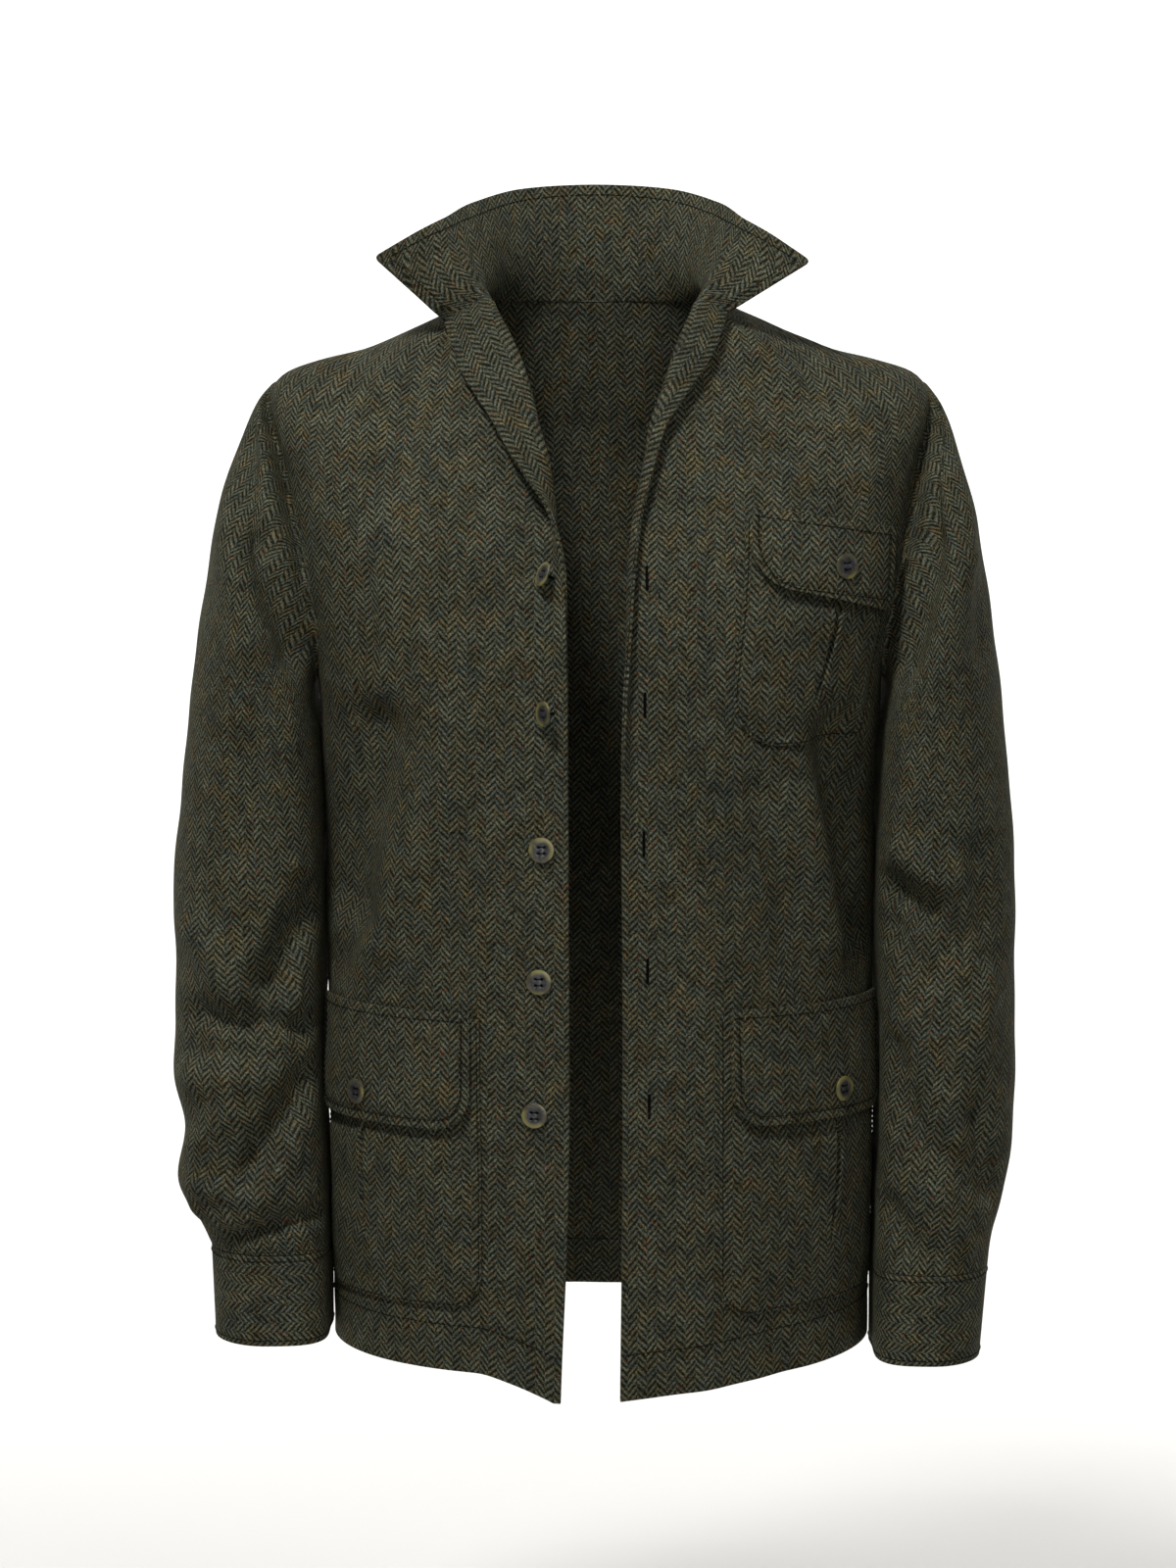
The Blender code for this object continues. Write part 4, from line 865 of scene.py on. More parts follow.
# ================================================================ figure
class Figure:
    """The general figure that the worn body of the jacket follows."""

    def __init__(self, rings: Sequence[Ring] = BODY) -> None:
        """Keeps the rings as one array."""
        self.rings = np.array(rings)

    def point(self, phi: np.ndarray, level: np.ndarray) -> np.ndarray:
        """Points phi degrees round the body at levels of its rings."""
        phi, level = np.broadcast_arrays(np.asarray(phi, float), np.asarray(level, float))
        ring = Ring(*np.moveaxis(along(self.rings, level), -1, 0))
        s, c = np.sin(np.radians(phi)), np.cos(np.radians(phi))
        end_y = np.where(c > 0, ring.front_y, ring.back_y)
        end_z = np.where(c > 0, ring.front_z, ring.back_z)
        x = ring.mid_x + ring.half_width * np.sign(s) * np.abs(s) ** ring.square
        y = ring.side_y + (end_y - ring.side_y) * np.abs(c) ** ring.square
        z = ring.side_z + (end_z - ring.side_z) * np.abs(c) ** DROP
        return np.stack([x, y, z], axis=-1)

    def outward(self, phi: np.ndarray, level: np.ndarray) -> np.ndarray:
        """Outward directions of the body's face."""
        across = self.point(phi + TURN_STEP, level) - self.point(phi - TURN_STEP, level)
        above, below = np.minimum(level + LEVEL_STEP, NECK), np.maximum(level - LEVEL_STEP, 0.0)
        up = self.point(phi, above) - self.point(phi, below)
        return unit(np.cross(across, up))

    def skin(self, phi: np.ndarray, level: np.ndarray) -> tuple[np.ndarray, np.ndarray]:
        """Points and outward directions of the body's cloth with its folds."""
        phi, level = np.broadcast_arrays(np.asarray(phi, float), np.asarray(level, float))
        point, outward = self.point(phi, level), self.outward(phi, level)
        rise = fold_rise(point, outward, BODY_FOLDS + BODY_CREASES)
        calm = smooth((NECK - level) / 0.8) * smooth(level / 0.1)
        return point + outward * (rise + calm * unevenness(point))[..., None], outward

    def ring_value(self, level: np.ndarray, name: str) -> np.ndarray:
        """One named size of the rings at levels."""
        return along(self.rings, level)[..., Ring._fields.index(name)]

    def level_at(self, phi: np.ndarray, z: np.ndarray, high: float = TIP) -> np.ndarray:
        """Levels where the body's face has given heights."""
        phi, z = np.broadcast_arrays(np.asarray(phi, float), np.asarray(z, float))
        low, top = np.zeros(phi.shape), np.full(phi.shape, float(high))
        for _ in range(HALVINGS):
            middle = 0.5 * (low + top)
            under = self.point(phi, middle)[..., 2] < z
            low, top = np.where(under, middle, low), np.where(under, top, middle)
        return 0.5 * (low + top)

    def turn_at(self, side: int, x: float, z: float) -> float:
        """Degrees round the body of a place seen at x and z from the front."""
        phi = 30.0
        for _ in range(ROUNDS):
            ring = Ring(*along(self.rings, self.level_at(side * phi, z)))
            reach = min((x - side * ring.mid_x) / ring.half_width, 0.999)
            phi = math.degrees(math.asin(reach ** (1 / ring.square)))
        return phi

    def side_x(self, side: int, z: np.ndarray) -> np.ndarray:
        """How far the body's side lies from the middle below the armpit."""
        levels = np.linspace(0.0, PIT, 400)
        level = np.interp(z, self.ring_value(levels, "side_z"), levels)
        return self.ring_value(level, "half_width") + side * self.ring_value(level, "mid_x")


def arm_level(angle: np.ndarray) -> np.ndarray:
    """Level of the body at an angle up the armhole, from -90 at the armpit to 90."""
    return 0.5 * (PIT + TIP) + 0.5 * (TIP - PIT) * np.sin(np.radians(angle))


def arm_middle(angle: np.ndarray) -> np.ndarray:
    """Degrees round the body of the armhole's middle line."""
    return SIDE_SEAM + (SHOULDER_SEAM - SIDE_SEAM) * smooth(0.5 + 0.5 * np.sin(np.radians(angle)))


def arm_reach(angle: np.ndarray, widest: np.ndarray) -> np.ndarray:
    """Degrees from the armhole's middle line to its edge."""
    turn = np.radians(angle)
    return widest * np.maximum(np.cos(turn), 0.0) * (1.0 - ARMHOLE_SAG * np.sin(turn))


def row_levels() -> tuple[np.ndarray, np.ndarray]:
    """Levels of the rows of the fronts and the back, and each one's arm angle or nan."""
    low = np.linspace(0.0, PIT, LOW_ROWS, endpoint=False)
    angles = np.linspace(-90.0, 90.0, ARM_ROWS + 1)
    top = np.linspace(TIP, NECK, TOP_ROWS + 1)[1:]
    levels = np.concatenate([low, arm_level(angles), top])
    return levels, np.concatenate([np.full(LOW_ROWS, np.nan), angles, np.full(TOP_ROWS, np.nan)])


def panel_end(figure: Figure, side: int, to_front: bool) -> np.ndarray:
    """Degrees round the body where each row ends at a seam or at the armhole."""
    levels, angles = row_levels()
    sign = -1.0 if to_front else 1.0
    plain = np.where(levels < PIT, SIDE_SEAM, SHOULDER_SEAM)
    filled = np.nan_to_num(angles)
    widest = ARMHOLE_FRONT[side] if to_front else ARMHOLE_BACK
    beside = arm_middle(filled) + sign * arm_reach(filled, widest)
    gap = np.degrees(SEAM_SHARE * SEAM / figure.ring_value(levels, "half_width"))
    return np.where(np.isnan(angles), plain, beside) + sign * gap


# ================================================================ sewing
@dataclass
class Stitching:
    """A run of stitches along a line on the cloth.

    Real thread is half as thick; it is drawn coarser to show.
    """

    length: float = 0.0030
    gap: float = 0.0007
    radius: float = 0.00044
    sides: int = 6
    # place along half a stitch, and rise and thickness in radii
    profile: tuple[tuple[float, float, float], ...] = (
        (-1.0, -0.4, 0.5), (-0.6, 0.5, 1.0), (0.0, 0.8, 1.1), (0.6, 0.5, 1.0), (1.0, -0.4, 0.5))

    def sew(self, name: str, lines: Sequence[tuple[np.ndarray, np.ndarray]],
            material: bpy.types.Material) -> bpy.types.Object:
        """One settled piece of stitches.

        Args:
            name: the object's name.
            lines: points on the cloth's outer face, and outward directions.
            material: the thread.

        Returns:
            The new object.
        """
        verts, faces, count = [], [], 0
        for points, outward in lines:
            run = np.concatenate([[0.0], np.cumsum(np.linalg.norm(np.diff(points, axis=0), axis=1))])
            starts = np.arange(0.5 * self.gap, run[-1] - self.length, self.length + self.gap)

            def sample(grid: np.ndarray, where: np.ndarray) -> np.ndarray:
                """Values at distances along the line."""
                return np.stack([np.interp(where, run, grid[:, k]) for k in range(3)], axis=1)

            middle = starts + 0.5 * self.length
            ahead = unit(sample(points, starts + self.length) - sample(points, starts))
            out = unit(sample(outward, middle))
            beside = unit(np.cross(ahead, out))
            for place, rise, size in self.profile:
                centre = sample(points, middle + place * 0.5 * self.length) + out * (rise * self.radius)
                for k in range(self.sides):
                    a = 2.0 * math.pi * k / self.sides
                    ring = out * math.sin(a) * 0.8 + beside * math.cos(a)
                    verts.append(centre + ring * (self.radius * size))
            stitches = len(starts)
            corners = np.array(tube_faces(0, len(self.profile), self.sides))
            faces.append(count + (corners[:, None] * stitches + np.arange(stitches)[:, None]).reshape(-1, 4))
            count += stitches * len(self.profile) * self.sides
        piece = add_piece(name, np.concatenate(verts), np.concatenate(faces), material)
        settle(piece, Slot.TWEED)
        return piece


# ================================================================ fronts and back
@dataclass
class Front:
    """One front panel with its lapel and facing."""

    figure: Figure
    side: int
    cut: tuple[float, float] = (0.33, 0.80)
    cut_area: float = 0.186
    facing_cut: tuple[float, float] = (0.085, 0.80)
    facing_area: float = 0.047
    hem_turn: float = 0.033
    weave_start: float = 0.029       # the weave's columns are counted from this far beside the middle
    cloth: Cloth = field(init=False)
    roll: np.ndarray = field(init=False)
    end: np.ndarray = field(init=False)

    def __post_init__(self) -> None:
        """Works out the panel's surface."""
        self.levels, _ = row_levels()
        self.end = panel_end(self.figure, self.side, True)
        self.roll, edge = self.roll_turns()
        share = np.linspace(0.0, 1.0, FRONT_COLUMNS + 1)
        phi = self.side * (self.end[:, None] + (self.roll - self.end)[:, None] * share)
        points, outward = self.figure.skin(phi, self.levels[:, None])
        strip, strip_out = self.strip(points[:, -1], outward[:, -1], edge)
        points = np.concatenate([points, strip], axis=1)
        outward = np.concatenate([outward, strip_out], axis=1)
        start_x = points[:, FRONT_COLUMNS, 0][:, None]
        inside = self.side * points[..., 0] - np.abs(start_x)
        # the hem hangs lower towards the front edge
        t = np.clip(1.0 - inside / HEM_SWEEP[self.side], 0.0, 1.1)
        sweep = t * t * (1.6 - 0.6 * t)
        across = -weave_across(points, FRONT_COLUMNS) + (np.abs(start_x) - self.weave_start)
        up = weave_up(points, LOW_ROWS // 2, across=across)
        points[..., 2] -= edge["drop"][:, None] * sweep
        self.cloth = Cloth(points, outward, np.stack([across * self.side, up], axis=-1))

    def roll_turns(self) -> tuple[np.ndarray, dict]:
        """Degrees round the body of the fold in each row, and the table's values there."""
        table = np.array(EDGES[self.side])
        phi = np.full(self.levels.shape, 20.0)
        values = None
        for _ in range(ROUNDS):
            z = self.figure.point(self.side * phi, self.levels)[..., 2]
            values = along(table, np.interp(-z, -table[:, 0], np.arange(len(table))))
            wide, middle = (self.figure.ring_value(self.levels, name) for name in ("half_width", "mid_x"))
            reach = np.clip((values[:, 1] - self.side * middle) / wide, 0.01, 0.99)
            phi = np.degrees(np.arcsin(reach ** (1.0 / self.figure.ring_value(self.levels, "square"))))
        return phi, dict(zip(Edge._fields, values.T))

    def strip(self, start: np.ndarray, outward: np.ndarray, edge: dict) -> tuple[np.ndarray, np.ndarray]:
        """The cloth beyond the fold, curled outwards as a soft lapel."""
        along_fold = np.gradient(start, axis=0)
        inward = unit(np.cross(outward, along_fold)) * self.side
        curl = np.radians(edge["curl"])[:, None]
        strip = edge["strip"][:, None]
        arc = np.minimum(curl * ROLL_RADIUS, 0.75 * strip)
        radius = arc / curl
        bend = arc * np.linspace(0.0, 1.0, ROLL_COLUMNS + 1)[1:]
        flat = (strip - arc) * np.linspace(0.0, 1.0, LAPEL_COLUMNS + 1)[1:]
        length = np.concatenate([bend, arc + flat], axis=1)
        share = np.minimum(length, arc) / radius
        beyond = np.maximum(length - arc, 0.0)
        laid = smooth(edge["curl"] / 90.0 - 0.5)[:, None]
        turn = share + np.where(length > arc, beyond / CHEST_RADIUS * laid, 0.0)
        middle = 0.5 * (curl + turn)
        inward, outward = inward[:, None, :], outward[:, None, :]
        points = start[:, None, :] + inward * (radius * np.sin(share))[..., None] \
            + outward * (radius * (1.0 - np.cos(share)))[..., None] \
            + (inward * np.cos(middle)[..., None] + outward * np.sin(middle)[..., None]) * beyond[..., None]
        return points, unit(outward * np.cos(turn)[..., None] - inward * np.sin(turn)[..., None])

    def place(self, phi: np.ndarray, level: np.ndarray) -> tuple[np.ndarray, np.ndarray]:
        """Points and outward directions on the panel, phi degrees round it at levels."""
        row = np.interp(level, self.levels, np.arange(len(self.levels)))
        end, roll = (np.interp(row, np.arange(len(self.levels)), values) for values in (self.end, self.roll))
        return self.cloth.at(row, (end - phi) / (end - roll) * FRONT_COLUMNS)

    def facing(self) -> Cloth:
        """The sheet that the facing is made from, with the weave along its edge."""
        first = self.cloth.points[0]
        reach = np.linalg.norm(first - first[FRONT_COLUMNS], axis=-1)[:FRONT_COLUMNS]
        start = int(np.nonzero(reach >= FACING_REACH)[0][-1])
        kept = self.cloth.part(slice(None), slice(start, None))
        edge = kept.points.shape[1] - 1
        across = weave_across(kept.points, edge, level=False) * self.side
        weave = np.stack([across, weave_up(kept.points, LOW_ROWS // 2)], axis=-1)
        return Cloth(kept.points, kept.outward, weave)

    def build(self, wardrobe: Wardrobe) -> None:
        """Makes the front, its facing and its stitching."""
        name = side_word(self.side)
        front = self.cloth.shell("tweed_front_" + name, 0.0, CLOTH, wardrobe.tweed)
        settle(front, Slot.TWEED, "front_" + name)
        near = CLOTH + SEAM
        facing = self.facing().shell("tweed_facing_" + name, near, near + FACING_CLOTH, wardrobe.tweed)
        settle(facing, Slot.TWEED, "facing_" + name)
        sewn = Stitching().sew("stitching_front_" + name, [self.hem_line()], wardrobe.thread)

    def hem_line(self) -> tuple[np.ndarray, np.ndarray]:
        """The line that holds the hem's turning."""
        columns = np.arange(2, self.cloth.points.shape[1] - 1, dtype=float)
        run = np.linalg.norm(np.diff(self.cloth.points[:12], axis=0), axis=-1)
        total = np.concatenate([np.zeros((1, run.shape[1])), np.cumsum(run, axis=0)])
        rows = np.array([np.interp(self.hem_turn, total[:, int(c)], np.arange(12)) for c in columns])
        return self.cloth.at(rows, columns)


@dataclass
class Back:
    """The back panel in one piece."""

    figure: Figure
    cut: tuple[float, float] = (0.52, 0.80)
    cut_area: float = 0.365
    hem_turn: float = 0.033
    cloth: Cloth = field(init=False)

    def __post_init__(self) -> None:
        """Works out the panel's surface."""
        levels, _ = row_levels()
        right, left = panel_end(self.figure, -1, False), 360.0 - panel_end(self.figure, 1, False)
        share = np.linspace(0.0, 1.0, BACK_COLUMNS + 1)
        phi = -(right[:, None] + (left - right)[:, None] * share)
        points, outward = self.figure.skin(phi, levels[:, None])
        across = weave_across(points, BACK_COLUMNS // 2)
        weave = np.stack([across, weave_up(points, LOW_ROWS // 2, across=across)], axis=-1)
        self.cloth = Cloth(points, outward, weave)

    def build(self, wardrobe: Wardrobe) -> None:
        """Makes the back and its hem's stitching."""
        back = self.cloth.shell("tweed_back", 0.0, CLOTH, wardrobe.tweed)
        settle(back, Slot.TWEED, "back")
        columns = np.arange(2, BACK_COLUMNS - 1, dtype=float)
        run = np.linalg.norm(np.diff(self.cloth.points[:12, BACK_COLUMNS // 2], axis=0), axis=-1)
        row = np.interp(self.hem_turn, np.concatenate([[0.0], np.cumsum(run)]), np.arange(12))
        points, outward = self.cloth.at(np.full(columns.shape, row), columns)
        lines = [(points, outward), (points - outward * CLOTH, -outward)]
        sewn = Stitching().sew("stitching_back", lines, wardrobe.thread)


# ================================================================ sleeves and cuffs
@dataclass
class Sleeve:
    """A sleeve with its cuff."""

    figure: Figure
    side: int
    cut: tuple[float, float] = (0.46, 0.60)
    cut_area: float = 0.212
    cuff_cut: tuple[float, float] = (0.30, 0.064)
    sewn_in: float = 0.004           # stitches from the cuff's edges
    calm_rows: tuple[float, float, float] = (8.0, 26.0, 10.0)   # folds start after, grow over and fade over
    body_x: float = 0.205            # ridges fade from here towards the body beside the sleeve
    body_fade: float = 0.006
    cloth: Cloth = field(init=False)
    cuff: Cloth = field(init=False)

    def __post_init__(self) -> None:
        """Works out the sleeve's and the cuff's surfaces."""
        self.turns = np.linspace(-180.0, 180.0, SLEEVE_COLUMNS + 1)
        rings = self.rings()
        last = len(rings) - 1
        fine = along(rings.reshape(last + 1, -1), np.linspace(0, last, last * SLEEVE_STEPS + 1))
        points = fine.reshape(len(fine), -1, 3)
        weave = self.weave(points)
        outward = self.tube_outward(points)
        row = np.arange(len(points))
        start, grow, fade = self.calm_rows
        calm = smooth((row - start) / grow) * smooth((len(points) - 1 - row) / fade)
        folds = SLEEVE_FOLDS[self.side] + SLEEVE_CREASES[self.side]
        rise = fold_rise(points, outward, folds) + unevenness(points)
        free = smooth((np.abs(points[..., 0]) - self.body_x) / self.body_fade)
        rise = calm[:, None] * np.where(rise > 0.0, rise * free, rise)
        points = points + outward * rise[..., None]
        outward = self.tube_outward(points)
        outward[-1, :, 2] = 0.0
        outward[-1] = unit(outward[-1])
        self.cloth = Cloth(points, outward, weave)
        self.cuff = self.cuff_cloth(points[-1], outward[-1])

    def weave(self, points: np.ndarray) -> np.ndarray:
        """Weave places: across from the outer line, straight near the armhole and gathered at the cuff."""
        half, first, last = SLEEVE_COLUMNS // 2, 4 * SLEEVE_STEPS, 13 * SLEEVE_STEPS
        across = weave_across(points, half, level=False) * self.side
        for part, end in ((slice(None, half), 0), (slice(half + 1, None), -1)):
            girth = np.abs(across[:, end])
            even = np.interp(np.arange(len(girth)), (first, last), (girth[first], girth[last]))
            across[:, part] *= (even / girth)[:, None]
        across[:first], across[last:] = across[first], across[last]
        return np.stack([across, weave_up(points, 5 * SLEEVE_STEPS, -1.0)], axis=-1)

    def armhole(self) -> tuple[np.ndarray, np.ndarray]:
        """Points and directions of the armhole's edge, with the seam gap taken off."""
        to_front = self.turns >= 0.0
        angle = 90.0 - np.abs(self.turns)
        keep = 1.0 - 2.0 * SEAM_SHARE * SEAM / ARMHOLE_HALF
        middle = 0.5 * (PIT + TIP)
        level = middle + (arm_level(angle) - middle) * keep
        widest = np.where(to_front, ARMHOLE_FRONT[self.side], ARMHOLE_BACK)
        reach = arm_reach(angle, widest) * keep * np.where(to_front, -1.0, 1.0)
        return self.figure.skin(self.side * (arm_middle(angle) + reach), level)

    def rings(self) -> np.ndarray:
        """Every ring of the sleeve from the armhole down."""
        edge, direction = self.armhole()
        cosine = np.cos(np.radians(self.turns))
        onward = edge[:-1].mean(axis=0) - edge
        onward -= direction * np.sum(onward * direction, axis=-1, keepdims=True)
        run = SEAM_RUN * smooth((1.0 + cosine) / UNDERARM)
        rings = [edge, edge + unit(onward) * run[:, None] + direction * SEAM_RISE]
        moved = self.turns - TIP_BACK * 0.5 * (1.0 + cosine)
        c, s = np.cos(np.radians(moved)), np.sin(np.radians(moved))
        flat_c = np.where(c < 0, -np.abs(c) ** FLAT_SIDE, c)
        flat_s = np.where(c < 0, np.sign(s) * np.abs(s) ** FLAT_SIDE, s)
        for row in SLEEVES[self.side]:
            outer = np.array((self.side * row.out_x, row.mid_y, row.out_z))
            inner_x = self.side * (float(self.figure.side_x(self.side, row.in_z)) + row.clear)
            inner = np.array((inner_x, row.mid_y, row.in_z))
            free = (outer + inner) / 2.0 + (outer - inner) / 2.0 * flat_c[:, None]
            hug = np.where((c < 0) & (s < 0), 2.0 * HUG * np.abs(flat_c) * flat_s ** 2, 0.0)
            free[:, 0] -= self.side * hug
            free[:, 1] -= row.half_y * flat_s
            rings.append(edge + (free - edge) * row.blend)
        return np.array(rings)

    def tube_outward(self, points: np.ndarray) -> np.ndarray:
        """Outward directions round the tube."""
        ring = points[:, :-1]
        across = np.roll(ring, -1, axis=1) - np.roll(ring, 1, axis=1)
        found = unit(np.cross(across, np.gradient(ring, axis=0))) * self.side
        return np.concatenate([found, found[:, :1]], axis=1)

    def cuff_cloth(self, last: np.ndarray, outward: np.ndarray) -> Cloth:
        """The cuff's surface; its weave runs across."""
        share = np.linspace(0.0, 1.0, CUFF_ROWS + 1)[:, None]
        outer = 0.5 + 0.5 * np.cos(np.radians(self.turns))
        points = np.repeat(last[None], CUFF_ROWS + 1, axis=0)
        points[..., 0] -= self.side * CUFF_TAPER[self.side] * outer * share
        points[..., 1] -= CUFF_FORWARD * share
        points[..., 2] -= 2.0 * SEAM + CUFF_DEPTH * share
        around = weave_across(points[:1], SLEEVE_COLUMNS // 2, level=False) * self.side
        weave = np.stack([CUFF_DEPTH * share + 0.0 * around, around + 0.0 * share], axis=-1)
        return Cloth(points, np.repeat(outward[None], CUFF_ROWS + 1, axis=0), weave)

    def build(self, wardrobe: Wardrobe) -> None:
        """Makes the sleeve, the cuff and their stitching."""
        name = side_word(self.side)
        sleeve = self.cloth.shell("tweed_sleeve_" + name, 0.0, CLOTH, wardrobe.tweed, closed=True)
        settle(sleeve, Slot.TWEED, "sleeve_" + name)
        cuff = self.cuff.shell("tweed_cuff_" + name, 0.0, CLOTH, wardrobe.tweed, closed=True)
        settle(cuff, Slot.TWEED, "cuff_" + name)
        columns = np.arange(SLEEVE_COLUMNS + 1, dtype=float)
        step = CUFF_ROWS * self.sewn_in / CUFF_DEPTH
        lines = [self.cuff.at(np.full(columns.shape, row), columns) for row in (step, CUFF_ROWS - step)]
        sewn = Stitching().sew("stitching_cuff_" + name, lines, wardrobe.thread)


# ================================================================ collar
@dataclass
class Collar:
    """The raised collar with its two leaves."""

    right: Cloth
    back: Cloth
    left: Cloth
    cut: tuple[float, float] = (0.50, 0.085)
    cut_area: float = 0.032
    tip_round: float = 0.005
    sewn_in: float = 0.006
    cloth: Cloth = field(init=False)

    def __post_init__(self) -> None:
        """Works out the collar's surface from the panels' top rows."""
        strip, neck = ROLL_COLUMNS + LAPEL_COLUMNS, FRONT_COLUMNS
        side = np.arange(1, strip + neck + 1)
        # places in COLLAR_TOP: the back has steps 3 to 7, the neck beside it one and the leaf two more
        place = np.where(side > neck, 8.0 + 2.0 * (side - neck) / strip, 7.0 + side / neck)
        back_place = 3.0 + 4.0 * np.arange(BACK_COLUMNS + 1) / BACK_COLUMNS
        top = np.concatenate([10.0 - place[::-1], back_place, place])
        step = TOP_ROWS // 3

        def seam(grid: np.ndarray) -> np.ndarray:
            """A value along the whole neck seam, from the right edge to the left."""
            right, back, left = grid
            return np.concatenate([right[side[::-1]], back, left[side]])

        sheets = (self.right, self.back, self.left)
        point = seam([sheet.points[-1] for sheet in sheets])
        outward = seam([sheet.outward[-1] for sheet in sheets])
        rise = seam([unit(sheet.points[-1] - sheet.points[-1 - step]) for sheet in sheets])
        low, high = point + rise * (2.0 * SEAM), along(np.array(COLLAR_TOP), top)
        standing = smooth(np.minimum(top, len(COLLAR_TOP) - 1 - top) / LEAF_PLACES)[:, None]
        bend = (low + high) / 2.0 * (1 - standing) + (low + rise * COLLAR_STAND) * standing
        share = np.linspace(0.0, 1.0, COLLAR_ROWS + 1)[:, None, None]
        points = low * (1 - share) ** 2 + bend * 2 * share * (1 - share) + high * share ** 2
        found = unit(np.cross(np.gradient(points, axis=0), np.gradient(points, axis=1)))
        ease = smooth(np.linspace(0.0, 1.0, COLLAR_ROWS + 1) * 4.0)[:, None, None]
        found = unit(outward * (1 - ease) + found * ease)
        middle = points.shape[1] // 2
        up = np.concatenate([np.zeros((1, points.shape[1])),
                             np.cumsum(np.linalg.norm(np.diff(points, axis=0), axis=-1), axis=0)])
        across = weave_across(points, middle, level=False)
        self.cloth = Cloth(self.rounded_tips(points, found), found, np.stack([across, up], axis=-1))

    def rounded_tips(self, points: np.ndarray, outward: np.ndarray) -> np.ndarray:
        """The points with the two upper corners rounded off."""
        points = points.copy()
        for column, sign in ((0, 1), (points.shape[1] - 1, -1)):
            corner = points[-1, column].copy()
            along_top = unit(points[-1, column + 6 * sign] - corner)
            down = unit(points[-6, column] - corner)
            offset = points - corner
            # coordinates along the two edges that meet at the tip
            dots = np.array([[1.0, along_top @ down], [along_top @ down, 1.0]])
            flat = np.stack([offset @ along_top, offset @ down], axis=-1) @ np.linalg.inv(dots)
            left = np.clip(self.tip_round - flat, 0.0, self.tip_round)
            both = np.minimum(left[..., 0], left[..., 1])
            long = np.linalg.norm(left, axis=-1)
            scale = np.where(both > 0, left.max(axis=-1) / np.maximum(long, 1e-9), 1.0)
            near = np.linalg.norm(offset, axis=-1) < 3.0 * self.tip_round
            shift = left * (1.0 - scale)[..., None] * near[..., None]
            points += shift[..., :1] * along_top + shift[..., 1:] * down
        return points

    def build(self, wardrobe: Wardrobe) -> None:
        """Makes the collar and its topstitching."""
        collar = self.cloth.shell("tweed_collar", 0.0, COLLAR_CLOTH, wardrobe.tweed)
        settle(collar, Slot.TWEED, "collar")
        rows, columns = self.cloth.points.shape[:2]
        height = np.linalg.norm(np.diff(self.cloth.points, axis=0), axis=-1).sum(axis=0)
        length = np.linalg.norm(np.diff(self.cloth.points[-1], axis=0), axis=-1)
        run = np.concatenate([[0.0], np.cumsum(length)])
        ends = (self.sewn_in, run[-1] - self.sewn_in)
        first, last = (float(np.interp(end, run, np.arange(columns))) for end in ends)
        across = np.linspace(first, last, 240)
        top = (rows - 1) * (1.0 - self.sewn_in / np.interp(across, np.arange(columns), height))
        path_rows = np.concatenate([np.linspace(2.0, top[0], 40), top, np.linspace(top[-1], 2.0, 40)])
        path_columns = np.concatenate([np.full(40, first), across, np.full(40, last)])
        points, outward = self.cloth.at(path_rows, path_columns)
        lines = [(points, outward), (points - outward * COLLAR_CLOTH, -outward)]
        sewn = Stitching().sew("stitching_collar", lines, wardrobe.thread)


